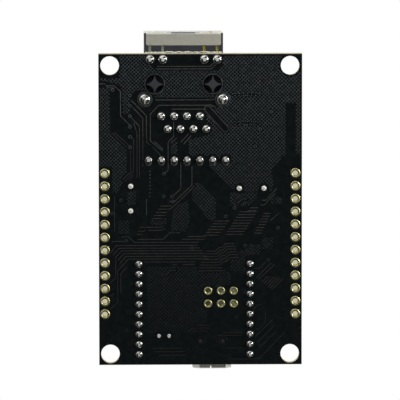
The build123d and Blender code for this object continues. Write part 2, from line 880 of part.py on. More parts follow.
keep("chip_resistors", chip_bodies(resistor_spots, resistor_height))
keep("chip_resistor_ends", chip_ends(resistor_spots, resistor_height))
keep("chip_capacitors", chip_bodies(ceramic_spots, ceramic_height))
keep("chip_capacitor_ends", chip_ends(ceramic_spots, ceramic_height))
keep("indicator_lights", chip_bodies(indicator_spots, resistor_height))
keep("indicator_light_ends", chip_ends(indicator_spots, resistor_height))


# ---------------------------------------------------------------- solder joints
def solder_joints(places, size, draw_pin):
    """Cones of solder under the board, each with its pin standing through it."""
    foot_radius, height = size
    with BuildPart() as joint:
        add(cone(foot_radius, foot_radius * solder_tip_share, height, solder_sides))
        with BuildSketch():
            draw_pin()
        extrude(amount=-height, mode=Mode.SUBTRACT)
    return copies(joint.part, places)


def draw_jack_pin():
    Rectangle(signal_pin, signal_pin)


def draw_ground_leg():
    Rectangle(sheet, ground_leg_width)


def draw_seven_tail():
    Rectangle(seven_tail, seven_tail)


def draw_radio_tail():
    Rectangle(radio_tail, radio_tail)


def draw_crystal_lead():
    RegularPolygon(crystal_lead_radius, wire_sides)


def draw_capacitor_lead():
    RegularPolygon(capacitor_lead_radius, wire_sides)


radio_places = radio_left_places + radio_right_places
crystal_places = controller_crystal_places + network_crystal_places
keep("jack_pin_solder", solder_joints(signal_places, pin_joint, draw_jack_pin))
keep("jack_light_solder", solder_joints(light_lead_places, light_joint, draw_jack_pin))
keep("jack_ground_solder", solder_joints(ground_leg_places, ground_joint, draw_ground_leg))
keep("seven_way_solder", solder_joints(seven_places, seven_joint, draw_seven_tail))
keep("radio_socket_solder", solder_joints(radio_places, radio_joint, draw_radio_tail))
keep("crystal_solder", solder_joints(crystal_places, crystal_joint, draw_crystal_lead))
keep("capacitor_solder", solder_joints(capacitor_places, capacitor_joint, draw_capacitor_lead))
print(len(built), "nodes")
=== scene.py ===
# %% [markdown]
# # A network development board, seen from its solder side
# The board carries a shielded network jack, socket rows for a radio module, two crystals
# and a small USB socket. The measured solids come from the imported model. This file gives
# every solid its finish, and models what is too fine for the solids: the traces and the
# hatched copper under the solder mask, the solder joints, the plated holes and the print.

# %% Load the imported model
import math
import random

import bmesh
import bpy
import numpy as np
from mathutils import Matrix, Vector


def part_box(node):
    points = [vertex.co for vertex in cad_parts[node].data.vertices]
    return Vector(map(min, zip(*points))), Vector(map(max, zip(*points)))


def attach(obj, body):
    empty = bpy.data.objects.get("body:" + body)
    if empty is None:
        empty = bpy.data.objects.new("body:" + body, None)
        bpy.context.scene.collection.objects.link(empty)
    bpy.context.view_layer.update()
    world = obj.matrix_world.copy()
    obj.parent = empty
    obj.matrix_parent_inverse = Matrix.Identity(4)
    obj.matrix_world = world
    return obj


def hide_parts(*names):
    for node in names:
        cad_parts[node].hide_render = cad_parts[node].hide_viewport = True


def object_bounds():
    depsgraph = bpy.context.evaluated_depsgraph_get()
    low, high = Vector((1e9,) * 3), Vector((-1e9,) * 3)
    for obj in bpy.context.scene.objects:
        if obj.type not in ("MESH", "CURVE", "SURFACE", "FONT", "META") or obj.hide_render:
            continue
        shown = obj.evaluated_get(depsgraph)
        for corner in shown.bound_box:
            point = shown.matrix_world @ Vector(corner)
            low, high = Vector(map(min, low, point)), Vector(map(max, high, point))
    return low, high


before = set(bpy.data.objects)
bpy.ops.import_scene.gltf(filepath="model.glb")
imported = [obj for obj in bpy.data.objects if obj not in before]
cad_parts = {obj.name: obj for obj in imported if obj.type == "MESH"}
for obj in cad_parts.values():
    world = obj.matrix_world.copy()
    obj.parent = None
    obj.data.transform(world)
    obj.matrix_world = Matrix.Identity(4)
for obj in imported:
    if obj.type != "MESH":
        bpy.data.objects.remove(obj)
cad_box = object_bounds()
mm = 0.001
root = "root"
print(len(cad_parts), "nodes in the frame")

# %% [markdown]
# The board lies with its parts upwards and rests on the tips of its pins. We look at the
# solder side, so the camera stands below and looks up, tilted a little towards the jack.
# A long lens far away keeps the board's edges nearly parallel.

# %% The camera
def add_object(name, data):
    """Puts a mesh, lamp or camera in the scene."""
    made = bpy.data.objects.new(name, data)
    scene.collection.objects.link(made)
    return made


scene = bpy.context.scene
scene.view_settings.view_transform = "Standard"
camera_data = bpy.data.cameras.new("camera")
camera_data.sensor_width = 36.0
camera_data.lens = 309.7
camera = add_object("camera", camera_data)
tilt, sway, roll = (math.radians(angle) for angle in (4.908, -1.332, -0.164))
turn = Matrix.Rotation(-tilt, 4, "X") @ Matrix.Rotation(-sway, 4, "Y")
turn = turn @ Matrix.Rotation(-roll, 4, "Z")
across, along, away = -0.011, -1.987, -680.0
stand_back = Matrix.Translation(Vector((across, along, away)) * mm)
camera.matrix_world = turn @ stand_back @ Matrix.Rotation(math.pi, 4, "X")
bpy.context.scene.camera = camera
print("camera at", [round(c, 3) for c in camera.matrix_world.translation])

# %% [markdown]
# A finish is a tree of nodes, and could be wired up node by node. Sums are shorter to read:
# `Value` wraps the output of a node, so that `1 - mask * 0.5` adds the Math nodes by itself.


# %% Sums with sockets
class Value:
    """The output of a node, ready for sums."""

    def __init__(self, shader, socket):
        self.shader = shader
        self.socket = socket

    def maths(self, operation, *values):
        inputs = dict(enumerate(values))
        return self.shader.node("ShaderNodeMath", {"operation": operation}, inputs)

    def __add__(self, other):
        return self.maths("ADD", self, other)

    def __radd__(self, other):
        return self.maths("ADD", other, self)

    def __sub__(self, other):
        return self.maths("SUBTRACT", self, other)

    def __rsub__(self, other):
        return self.maths("SUBTRACT", other, self)

    def __mul__(self, other):
        return self.maths("MULTIPLY", self, other)

    def __rmul__(self, other):
        return self.maths("MULTIPLY", other, self)

    def __neg__(self):
        return 0 - self

    def __abs__(self):
        return self.maths("ABSOLUTE", self)

    def square_root(self):
        return self.maths("SQRT", self)

    def or_larger(self, other):
        return self.maths("MAXIMUM", self, other)

    def over(self, low, high):
        """0 below low, 1 above high and a smooth change between them."""
        settings = {"interpolation_type": "SMOOTHSTEP"}
        inputs = {"Value": self, "From Min": low, "From Max": high}
        return self.shader.node("ShaderNodeMapRange", settings, inputs)

    def between(self, low, high, soft):
        """1 between low and high, and 0 outside them. Each change is soft wide."""
        return self.over(low, low + soft) * (1 - self.over(high, high + soft))


# %% [markdown]
# `Shader.node` adds any other node from its type, its settings and what goes into its
# sockets. The methods after it stand for the nodes that most finishes share. All patterns
# use object coordinates, which are metres on this object, so sizes are real sizes.


# %% Nodes of a finish
class Shader:
    """One node tree, filled from an empty start."""

    def __init__(self, tree):
        self.tree = tree
        tree.nodes.clear()

    def node(self, kind, settings=None, inputs=None, output=0):
        """Adds a node and gives back one of its outputs."""
        new = self.tree.nodes.new(kind)
        for name, value in (settings or {}).items():
            setattr(new, name, value)
        for key, value in (inputs or {}).items():
            if isinstance(value, Value):
                self.tree.links.new(value.socket, new.inputs[key])
            else:
                new.inputs[key].default_value = value
        return Value(self, new.outputs[output] if new.outputs else None)

    def place(self):
        """Object coordinates, in metres."""
        return self.node("ShaderNodeTexCoord", output="Object")

    def facing(self, letter):
        """How much a face looks along an axis, whichever way."""
        return abs(self.axis(self.node("ShaderNodeTexCoord", output="Normal"), letter))

    def axis(self, vector, letter):
        """One part of a vector."""
        return self.node("ShaderNodeSeparateXYZ", {}, {0: vector}, letter)

    def noise(self, size, detail=2.0, stretch=(1.0, 1.0, 1.0)):
        """Soft noise whose features are about size metres wide."""
        inputs = {"Vector": self.place(), "Scale": tuple(s / size for s in stretch)}
        mapped = self.node("ShaderNodeMapping", {"vector_type": "POINT"}, inputs)
        inputs = {"Vector": mapped, "Scale": 1.0, "Detail": detail}
        return self.node("ShaderNodeTexNoise", {}, inputs, "Fac")

    def blend(self, factor, first, second):
        """A colour between two colours."""
        inputs = {0: factor, 6: first, 7: second}
        return self.node("ShaderNodeMix", {"data_type": "RGBA"}, inputs, 2)

    def bump(self, height, depth):
        """Normals as if the surface rose by height times depth."""
        return self.node("ShaderNodeBump", {}, {"Height": height, "Distance": depth})

    def surface(self, colour, roughness, metallic=0.0, normal=None, **constants):
        """Ends the tree with one Principled surface."""
        inputs = {"Base Color": colour, "Roughness": roughness, "Metallic": metallic}
        if normal is not None:
            inputs["Normal"] = normal
        for name, value in constants.items():
            inputs[name.replace("_", " ").title().replace("Ior", "IOR")] = value
        bsdf = self.node("ShaderNodeBsdfPrincipled", {}, inputs)
        self.node("ShaderNodeOutputMaterial", {}, {"Surface": bsdf})


# %% [markdown]
# Three helpers are used by every finish: one for nearly neutral colours, one that starts an
# empty finish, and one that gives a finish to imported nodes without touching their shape.


# %% Colours and finishes
def grey(level, warmth=0.0):
    """A nearly neutral colour, warmer or cooler by a small share."""
    return (level * (1 + warmth), level, level * (1 - warmth), 1.0)


def new_material(name):
    """An empty finish, and the shader that fills it."""
    material = bpy.data.materials.new(name)
    material.use_nodes = True
    return material, Shader(material.node_tree)


def paint(material, *nodes):
    """Gives CAD nodes their finish."""
    for name in nodes:
        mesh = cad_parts[name].data
        mesh.materials.clear()
        mesh.materials.append(material)


# %% [markdown]
# The camera sees a plain white world behind the board. Shiny parts mirror another world:
# dark straight below, where the camera is, and bright around that, as in a light tent. Large
# lamps could make those reflections, but they would also light the dull parts. Panels that
# only mirrors see don't.

# %% The world
world = bpy.data.worlds.new("world")
scene.world = world
world.use_nodes = True
sky = Shader(world.node_tree)
direction = sky.node("ShaderNodeTexCoord", output="Generated")
camera_ray = sky.node("ShaderNodeLightPath", output="Is Camera Ray")
glossy_ray = sky.node("ShaderNodeLightPath", output="Is Glossy Ray")
towards_x, towards_y, towards_z = (sky.axis(direction, letter) for letter in "XYZ")
downwards = -towards_z


def panel(around, tilt, level):
    """A soft round panel of the mirrored room. Its tilt is its angle from straight down."""
    around, tilt = math.radians(around), math.radians(tilt)
    x, y = math.sin(tilt) * math.cos(around), math.sin(tilt) * math.sin(around)
    closeness = towards_x * x + towards_y * y - towards_z * math.cos(tilt)
    rim, middle = 0.92, 0.98
    return level * closeness.over(rim, middle)


around_camera = 1 - downwards.over(0.7, 0.95)
points_down = downwards.over(-0.25, 0.1)
panels = panel(-15, 55, 1.4) + panel(-75, 60, 0.35) + panel(-130, 55, 0.4) + panel(50, 66, 0.12)
away_from_jack = towards_y.over(-0.3, 0.6)
table_level, far_end_loss, upper_level, diffuse_light = 0.2, 0.16, 0.85, 0.5
table_light = around_camera * (table_level - far_end_loss * away_from_jack + panels)
mirrored_light = points_down * (table_light - upper_level) + upper_level
strength = diffuse_light + glossy_ray * (mirrored_light - diffuse_light)
strength = strength + camera_ray * (1 - strength)
background = sky.node("ShaderNodeBackground", {}, {"Color": (1, 1, 1, 1), "Strength": strength})
sky.node("ShaderNodeOutputWorld", {}, {"Surface": background})
print(len(world.node_tree.nodes), "nodes in the world")


# %% [markdown]
# The stage is a pale floor under the pins. Its face points up, and it is see-through from
# below and for every ray that isn't the camera's, so the solder side is lit and seen as if
# nothing were in the way.


# %% The floor
def make_object(name, bm, smooth=False):
    """An object with the mesh of a bmesh."""
    mesh = bpy.data.meshes.new(name)
    bm.to_mesh(mesh)
    bm.free()
    if smooth:
        mesh.shade_smooth()
    return add_object(name, mesh)


def plane_object(name, width, length, centre, face_up):
    """A flat rectangle with its place in its mesh."""
    bm = bmesh.new()
    bmesh.ops.create_grid(bm, x_segments=1, y_segments=1, size=0.5)
    bmesh.ops.scale(bm, vec=(width, length, 1), verts=bm.verts)
    if not face_up:
        bmesh.ops.reverse_faces(bm, faces=bm.faces)
    bmesh.ops.translate(bm, vec=centre, verts=bm.verts)
    return make_object(name, bm)


def front_for_camera_only(name, kind, inputs, mirrored=0):
    """A stage finish that only the camera sees, and only from the front. Metal may mirror it."""
    material, shader = new_material(name)
    camera_ray = shader.node("ShaderNodeLightPath", output="Is Camera Ray")
    glossy_ray = shader.node("ShaderNodeLightPath", output="Is Glossy Ray")
    back = shader.node("ShaderNodeNewGeometry", output="Backfacing")
    clear = shader.node("ShaderNodeBsdfTransparent")
    front = shader.node(kind, {}, inputs)
    seen = (camera_ray + mirrored * glossy_ray) * (1 - back)
    mixed = shader.node("ShaderNodeMixShader", {}, {0: seen, 1: clear, 2: front})
    shader.node("ShaderNodeOutputMaterial", {}, {"Surface": mixed})
    return material


floor_level = cad_box[0][2] - 0.05 * mm
floor = plane_object("floor", 6.0, 6.0, (0, 0, floor_level), face_up=True)
pale = front_for_camera_only("floor", "ShaderNodeBsdfDiffuse", {"Color": grey(0.8)})
floor.data.materials.append(pale)
print("floor at", round(floor_level / mm, 2), "mm")

# %% [markdown]
# The camera looks through the plated holes. What it would see there is the room, so small
# glowing cards above the board take its place, with painted light and shade: warm and pale,
# in painted half shade, behind the edge pads, and painted shadow of the board, darker, behind
# the programming pads. They belong to the stage, and only the camera and metal see them.


# %% Cards behind the holes
def card(name, colour, width, length, centre):
    """A plain glowing card above the board, seen only through its holes, with painted light or
    shade.
    """
    made = plane_object(name, width, length, centre, face_up=False)
    glow = {"Color": colour, "Strength": 1.0}
    finish = front_for_camera_only(name, "ShaderNodeEmission", glow, mirrored=1)
    made.data.materials.append(finish)


board_low, board_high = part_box("circuit_board")
card_level = board_high.z + 0.6 * mm
# The edge cards glow with painted light in half shade: warm and pale, dimmer than the white world.
edge_card_width, edge_card_colour = 1.5 * mm, (0.53, 0.51, 0.39, 1)
for side in ("left", "right"):
    low_pad, high_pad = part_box(f"{side}_edge_pads")
    middle = (low_pad + high_pad) / 2
    length = high_pad.y - low_pad.y
    centre = (middle.x, middle.y, card_level)
    card(f"{side}_card", edge_card_colour, edge_card_width, length, centre)
low_pad, high_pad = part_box("programming_pads")
middle = (low_pad + high_pad) / 2
size = high_pad - low_pad
# The programming pads' cards glow with painted shadow: the board's shade behind its middle, a
# little lighter in each next column.
shadow_colours = ((0.042, 0.036, 0.026, 1), (0.062, 0.06, 0.05, 1), (0.11, 0.12, 0.075, 1))
for i, colour in enumerate(shadow_colours):
    width = size.x / len(shadow_colours)
    centre = (middle.x + (i - 1) * width, middle.y, card_level)
    card(f"shadow_card_{i}", colour, width, size.y, centre)
print(2 + len(shadow_colours), "cards")

# %% [markdown]
# Four soft lamps: two below light the solder side that we look at, and two above light the
# component side for other views. One of each pair is stronger, which gives shapes a lit side.


# %% Lamps
def lamp(name, place, size, power):
    """A soft square lamp that faces the middle of the board."""
    data = bpy.data.lights.new(name, "AREA")
    data.size = size
    data.energy = power
    place = Vector(place)
    facing = place.to_track_quat("Z", "Y").to_matrix().to_4x4()
    add_object(name, data).matrix_world = Matrix.Translation(place) @ facing


lamp("key_below", (0.44, -0.16, -0.44), 0.2, 2.2)
lamp("fill_below", (-0.2, -0.38, -0.46), 0.5, 1.0)
lamp("key_above", (-0.4, -0.45, 0.6), 0.5, 2.4)
lamp("fill_above", (0.5, 0.4, 0.5), 0.5, 1.4)
print(len(bpy.data.lights), "lamps")

# %% [markdown]
# ## The board
# The laminate is glass cloth in resin, pale yellow where it is cut. Solder mask covers both
# faces: here a black one, which is almost mirror smooth but slightly mottled. The packed
# board has the right shape, so it only needs a finish. The finish tells cut walls from faces
# by the way they look, and the outer walls from the walls of the holes by their place. The
# walls of the holes get painted shade: they are coloured dark, as the inside of a hole looks.

# %% Solder mask and laminate
board_material, shader = new_material("board_finish")
place = shader.place()
mottle = shader.noise(1.3 * mm, 4.0).over(0.3, 0.75)
fine = shader.noise(0.12 * mm, 3.0)
mask = shader.blend(mottle, (0.0039, 0.0051, 0.0054, 1), (0.00585, 0.00765, 0.0081, 1))
bare_rim = (-shader.axis(place, "Y")).over(30.83 * mm, 30.88 * mm)
mask = shader.blend(bare_rim, mask, (0.5, 0.46, 0.33, 1))

cloth = shader.noise(0.1 * mm, 3.0, stretch=(0.3, 0.3, 2.0)).over(0.35, 0.7)
laminate = shader.blend(cloth, (0.62, 0.54, 0.33, 1), (0.42, 0.35, 0.2, 1))
off_x, off_y = (abs(shader.axis(place, letter)) for letter in "XY")
outer_wall = off_x.over(13 * mm, 14 * mm).or_larger(off_y.over(30.2 * mm, 30.4 * mm))
# Painted shade: the walls of the holes are coloured dark, while the outer walls keep the
# laminate's colour.
laminate = shader.blend(outer_wall, (0.05, 0.045, 0.035, 1), laminate)

upright_face = 1 - shader.facing("Z").over(0.3, 0.6)
shader.surface(
    shader.blend(upright_face, mask, laminate), 0.14 + 0.08 * fine + upright_face * 0.4,
    normal=shader.bump(fine, 0.004 * mm), specular_ior_level=0.25,
)
paint(board_material, "circuit_board")
print(len(board_material.node_tree.nodes), "nodes in the board's finish")

# %% [markdown]
# ## Copper under the mask
# Traces and hatched copper show as slightly raised lines in the mask. Each trace is a short
# path of given points, in millimetres, and a bus repeats one path. Some traces lie
# under thicker mask and show less, so they have a list of their own. The first ones run by
# the jack, along the left edge and below the jack's pins.

# %% Traces round the jack
trace_paths = []
faint_paths = []


def trace(*points, paths=trace_paths):
    """Adds one path to a list of paths."""
    paths.append([Vector(p) for p in points])


def bus(count, step, *points):
    """The same path again and again, each time moved by one step."""
    for i in range(count):
        trace(*[(x + step[0] * i, y + step[1] * i) for x, y in points])


# across the jack
trace((-8.4, -28.4), (2.0, -28.4), (2.9, -29.2))
trace((-8.6, -27.9), (2.2, -27.9), (3.2, -28.8))
trace((-8.8, -21.8), (2.6, -21.8), (3.4, -22.4))
trace((3.2, -20.3), (2.2, -20.75), (-8.1, -20.75), (-9.8, -19.0), (-9.8, -13.7), (-7.4, -11.7))
trace((-5.6, -19.97), (1.2, -19.97))
trace((-9.5, -12.6), (-7.4, -10.4), paths=faint_paths)
# left edge
trace((-19.8, -25.0), (-18.8, -25.0), (-18.0, -24.2), (-17.0, -24.2))
trace((-18.3, -24.6), (-16.9, -24.6), (-15.67, -23.5), (-15.67, -18.66), (-13.8, -16.8))
trace((-16.9, -15.4), (-13.9, -12.7), paths=faint_paths)
trace((-17.4, -15.3), (-14.4, -12.4), paths=faint_paths)
trace((-13.56, -21.75), (-10.59, -18.66), (-10.59, -13.5), (-9.8, -12.9), paths=faint_paths)
trace((-13.3, -20.4), (-11.29, -18.2), (-11.29, -8.6), paths=faint_paths)
trace((-13.56, -18.3), (-11.96, -16.6), (-11.96, -6.4), paths=faint_paths)
trace((-13.1, -17.3), (-12.45, -15.3), (-12.45, -6.4), paths=faint_paths)
trace((-13.56, -14.6), (-13.12, -13.85), (-13.12, -7.8), (-14.9, -5.6), paths=faint_paths)
trace((-13.7, -12.0), (-13.7, -7.5), (-15.3, -6.0), paths=faint_paths)
trace((-15.2, -6.2), (-14.1, -7.3), paths=faint_paths)
trace((-14.0, -6.1), (-13.2, -6.9), paths=faint_paths)
trace((-16.9, -2.8), (-16.9, 4.2), paths=faint_paths)
trace((-10.6, -2.2), (-10.6, 1.0))
# below the jack's pins
trace((-5.2, -17.5), (-5.2, -14.6), (-6.3, -13.4), (-6.3, -7.9), (-7.0, -7.3))
trace((-4.6, -14.3), (-5.8, -13.2))
bus(2, (0.55, 0.35), (-2.3, -15.1), (-3.8, -13.4))
trace((-3.8, -9.4), (-3.8, -4.3), (-5.2, -2.9))
trace((-1.6, -8.6), (-1.6, -5.0), (-5.0, -1.7), (-6.1, -1.7))
trace((-1.1, -4.8), (-4.6, -1.3), (-5.9, -0.2), (-8.0, -0.2))
trace((-9.0, -13.6), (-7.3, -12.0))
print(len(trace_paths), "traces and", len(faint_paths), "faint ones round the jack")

# %% [markdown]
# A wide bus crosses the board in long parallel lines, and then climbs to the right in steps.
# Its lines keep one distance, so a loop moves one path again and again.

# %% Traces across the middle
# staggered lines left of the middle
bus(5, (-0.42, 0.62), (-7.9, -0.8), (-5.7, -0.8))
trace((-11.9, 3.4), (-7.6, 3.4), (-7.2, 3.1))
trace((-10.2, 4.0), (-7.8, 4.0), (-6.9, 3.7))
trace((-12.2, 4.2), (-11.2, 4.2), (-10.9, 3.9))
trace((-12.4, 4.8), (-11.5, 4.8))
# the long bus across the board
trace((-15.5, 5.3), (-14.1, 5.3), (-13.0, 6.4), (-0.2, 6.4))
trace((-12.4, 5.8), (-7.3, 5.8), (-6.0, 4.5), (-4.0, 4.5))
trace((-3.7, 5.8), (0.9, 5.8))
trace((-2.5, 5.25), (1.2, 5.25))
bus(6, (0.46, 0.54), (-17.7, 8.4), (-16.5, 7.0), (-0.5, 7.0))
trace((-11.1, 10.3), (-6.3, 10.3))
trace((-6.1, 10.3), (-0.8, 10.3))
trace((-3.4, 10.8), (-1.0, 10.8))
trace((-5.4, 10.8), (-4.6, 10.8))
trace((-17.5, 6.2), (-15.1, 6.2), (-14.7, 5.9))
# the bus climbs in steps
for i in range(1, 7):
    bend = 4.1 - 0.17 * i
    level = 11.5 - 0.556 * i
    trace(
        (-0.3 + 0.25 * i, level), (bend, level), (bend + 0.75, level - 0.75),
        (bend + 1.25, level - 0.75), (bend + 2.0, level - 1.5), (7.9 - 0.2 * i, level - 1.5),
    )
trace((-0.3, 11.5), (4.4, 11.5))
trace((-0.4, 12.1), (5.0, 12.1))
# staggered lines right of the middle
bus(6, (-0.42, 0.56), (2.8, 2.2), (5.8, 2.2))
bus(9, (-0.35, 0.56), (7.8, 0.38), (11.3, 0.38))
bus(2, (-0.45, 0.56), (9.9, -0.4), (11.5, -0.4))
bus(8, (-0.25, 0.56), (12.5, 0.7), (14.0, 0.7))
trace((14.0, 2.1), (15.5, 0.7))
bus(2, (-0.3, 0.95), (12.2, -1.9), (13.0, -1.9), (15.1, -4.2))
trace((7.4, -1.4), (8.5, -2.2), (9.2, -2.2))
print(len(trace_paths), "traces so far")

# %% [markdown]
# The far end of the board has fewer traces, most of them short. Near the jack there is also
# one wide plain band of copper, of which only the rim shows.

# %% Traces at the far end
# right, below the middle
trace((10.6, 11.65), (11.7, 11.65), (12.9, 10.4))
trace((11.1, 13.56), (14.06, 10.57))
trace((11.6, 13.8), (14.8, 10.83))
for i in range(6):
    trace((12.2 + 0.4 * i, 14.4 + 0.3 * i), (13.5 + 0.58 * i, 13.1 + 0.12 * i))
trace((10.5, 19.9), (11.3, 19.0), (12.1, 18.8))
trace((11.1, 23.7), (11.7, 23.7), (12.9, 22.4), (12.9, 20.4))
bus(3, (0.35, 1.15), (10.9, 25.3), (13.4, 22.8), (14.4, 21.8))
trace((5.4, 29.7), (11.7, 29.7), (16.7, 24.4))
trace((4.5, 24.4), (8.3, 24.4))
trace((3.4, 24.95), (8.2, 24.95))
trace((5.4, 27.5), (8.6, 27.5))
bus(2, (-0.2, 0.6), (-0.9, 22.9), (2.1, 22.9))
trace((-2.6, 24.3), (-1.6, 23.5), (0.7, 23.5))
bus(3, (0.5, 0.7), (-9.4, 27.5), (-3.6, 27.5))
# left, below the middle
trace((-17.9, 14.6), (-16.7, 13.4), (-16.7, 9.7))
trace((-17.7, 17.1), (-17.1, 16.5))
trace((-17.9, 19.8), (-16.3, 18.3), (-16.3, 12.0), (-15.0, 10.6))
trace((-15.7, 16.5), (-15.7, 12.6), (-14.4, 11.2))
trace((-6.8, 13.0), (-5.8, 12.0), (-4.8, 12.0))
# the wide plain band
band_start, band_end, band_half_width = Vector((1.5, -20.0)), Vector((5.0, -16.1)), 0.62
print(len(trace_paths) + len(faint_paths), "traces in all")

# %% [markdown]
# Strips could be extruded along every path, but their corners would need mending. A curve
# with a round bevel turns corners by itself. So each trace is a tube, made a mesh and then
# pressed nearly flat, which leaves a low ridge with sloping sides.

# %% Ridges
solder_face = board_low.z
part_face = board_high.z


def tubes(name, paths, half_width, roundness=1):
    """The mesh of tubes along paths of (x, y, z, share of the half width), in millimetres."""
    curve = bpy.data.curves.new(name, "CURVE")
    curve.dimensions = "3D"
    curve.bevel_depth = half_width * mm
    curve.bevel_resolution = roundness
    curve.use_fill_caps = True
    for path in paths:
        spline = curve.splines.new("POLY")
        spline.points.add(len(path) - 1)
        for point, (x, y, z, share) in zip(spline.points, path):
            point.co = (x * mm, y * mm, z * mm, 1)
            point.radius = share
    shown = add_object(name, curve)
    graph = bpy.context.evaluated_depsgraph_get()
    mesh = bpy.data.meshes.new_from_object(shown.evaluated_get(graph))
    bpy.data.objects.remove(shown)
    return mesh


def ridges(name, paths, half_width, height, level):
    """Low ridges along paths: round tubes on one face of the board, pressed nearly flat."""
    mesh = tubes(name, [[(x, y, 0, 1) for x, y in path] for path in paths], half_width)
    press = Matrix.Diagonal((1, 1, height / half_width, 1))
    mesh.transform(Matrix.Translation((0, 0, level)) @ press)
    return add_object(name, mesh)


def on_board(made, material, replaced=()):
    """A finished piece that belongs to the one rigid body."""
    made.data.materials.clear()
    made.data.materials.append(material)
    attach(made, root)
    if replaced:
        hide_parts(*replaced)
    return made


# %% [markdown]
# Mask over copper is a little lighter than mask over laminate. One finish with different
# numbers serves traces, net and faint traces: a bright and a dim colour, mixed by soft
# patches and by how far along the board the copper is.


# %% Finish of the masked copper
def copper_finish(name, dim, bright, far_share, start, end):
    """Mask over copper. It shows best near the jack and fades towards the USB end."""
    material, shader = new_material(name)
    place = shader.place()
    fade = shader.axis(place, "Y").over(start * mm, end * mm)
    patches = 0.45 + 0.55 * shader.noise(0.8 * mm, 3.0).over(0.35, 0.65)
    light = patches * (1 - fade * (1 - far_share))
    fine = shader.noise(0.1 * mm, 2.0)
    colour = shader.blend(light, dim, bright)
    shader.surface(
        colour, 0.34 + 0.1 * fine, normal=shader.bump(fine, 0.003 * mm), specular_ior_level=0.2
    )
    return material


trace_finish = copper_finish(
    "trace_finish", (0.007, 0.008, 0.008, 1), (0.055, 0.054, 0.05, 1), 0.1, -25, 25
)
hatch_finish = copper_finish(
    "hatch_finish", (0.0033, 0.0046, 0.005, 1), (0.07, 0.08, 0.087, 1), 0.0, -40, 30
)
faint_finish = copper_finish(
    "faint_trace_finish", (0.007, 0.008, 0.008, 1), (0.05, 0.05, 0.046, 1), 0.25, -20, -12
)
raised = ridges("solder_side_traces", trace_paths, 0.085, 0.03, solder_face)
on_board(raised, trace_finish)
on_board(ridges("solder_side_faint_traces", faint_paths, 0.085, 0.02, solder_face), faint_finish)
print(len(raised.data.polygons), "faces in the bright traces")

# %% [markdown]
# The hatched copper is a net of lines at 45 degrees. It could be a pattern in the mask's
# finish, but then it wouldn't stop neatly at pads and traces. So its lines are modelled, and
# these rough polygons, in millimetres, say where they may lie.

# %% Areas of the net
hatch_areas = [
    [
        (-15.9, -30.6), (-10.9, -30.6), (-8.9, -27.7), (-8.9, -23.6), (-12.6, -23.6),
        (-13.5, -22.6), (-13.9, -19.0), (-15.2, -19.0), (-15.4, -24.0), (-16.3, -25.0),
        (-19.6, -25.6), (-19.6, -26.1), (-15.9, -26.1),
    ],
    [(-8.9, -27.6), (5.0, -27.6), (5.0, -22.2), (-9.0, -22.2)],
    [
        (4.5, -30.5), (17.0, -30.5), (19.9, -28.0), (19.9, -11.0), (18.9, -11.0), (18.9, -21.0),
        (17.0, -21.0), (17.0, -11.0), (16.2, -10.5), (14.1, -7.7), (14.6, -5.4), (14.2, -3.6),
        (7.2, -3.6), (6.5, -3.8), (1.8, -8.7), (1.8, -10.7), (-2.2, -10.7), (-2.2, -14.0),
        (1.3, -14.8), (1.3, -19.6), (3.4, -21.6), (3.4, -27.6), (4.5, -28.6),
    ],
    [
        (-19.8, -24.3), (-17.7, -24.3), (-17.7, -15.6), (-14.4, -12.6), (-14.4, -7.5),
        (-16.2, -3.4), (-17.3, -3.4), (-17.3, -8.6), (-19.8, -8.6),
    ],
    [(-5.7, -14.2), (-4.4, -14.2), (-4.4, -11.1), (-5.7, -11.1)],
    [(-1.5, -5.4), (-0.3, -5.4), (3.2, -2.0), (3.2, 2.2), (1.9, 2.2), (-1.5, -2.0)],
    [(-9.7, 1.6), (-6.6, 1.6), (-6.6, 3.0), (-9.7, 3.0)],
    [(-4.4, 2.0), (-2.6, 2.0), (-2.6, 3.2), (-4.4, 3.2)],
    [(5.9, -3.5), (11.4, -3.5), (11.4, -2.6), (9.5, -0.8), (5.9, -0.8)],
    [(14.1, -2.6), (16.2, -2.6), (16.2, -1.2), (14.1, -1.2)],
    [(6.1, 8.0), (9.1, 8.0), (9.1, 12.2), (6.1, 12.2)],
    [(-0.8, 12.2), (6.1, 12.2), (6.1, 15.0), (-0.8, 15.0)],
    [(9.1, 6.8), (12.1, 6.8), (12.1, 9.0), (9.1, 9.0)],
    [(12.3, 5.4), (14.5, 5.4), (14.5, 7.8), (12.3, 7.8)],
    [(-5.3, -0.6), (-2.4, -2.0), (-2.0, 2.4), (-2.8, 4.4), (-5.9, 4.4)],
    [(-16.1, 2.0), (-13.9, 2.0), (-13.9, 4.8), (-16.1, 4.8)],
    [(-14.4, -4.0), (-12.6, -4.0), (-12.6, -1.0), (-14.4, -1.0)],
    [(-10.5, 11.2), (-0.8, 11.2), (1.5, 15.0), (1.5, 24.4), (-10.5, 24.4)],
]
print(len(hatch_areas), "areas of net")

# %% [markdown]
# The net keeps clear of every pad and hole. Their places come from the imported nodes, so that
# nothing is measured twice: each loose part of a node is found by walking along its edges
# from corner to corner, and the middle of its box is its place.


# %% Pads and holes to keep clear of
def islands(node):
    """The low corner and high corner of each loose part of a CAD node."""
    bm = bmesh.new()
    bm.from_mesh(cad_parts[node].data)
    bmesh.ops.remove_doubles(bm, verts=bm.verts, dist=0.001 * mm)
    found = []
    left = set(bm.verts)
    while left:
        reached = [left.pop()]
        for vert in reached:
            for edge in vert.link_edges:
                other = edge.other_vert(vert)
                if other in left:
                    left.remove(other)
                    reached.append(other)
        places = np.array([vert.co for vert in reached])
        found.append((Vector(places.min(0)), Vector(places.max(0))))
    bm.free()
    return sorted(found, key=lambda pair: tuple(round(c, 6) for c in pair[0]))


def centres(node):
    """Where each loose part of a node crosses the solder side, in millimetres."""
    found = []
    for low_corner, high_corner in islands(node):
        if low_corner.z < solder_face:
            middle = (low_corner + high_corner) / 2 / mm
            found.append((middle.x, middle.y))
    return found


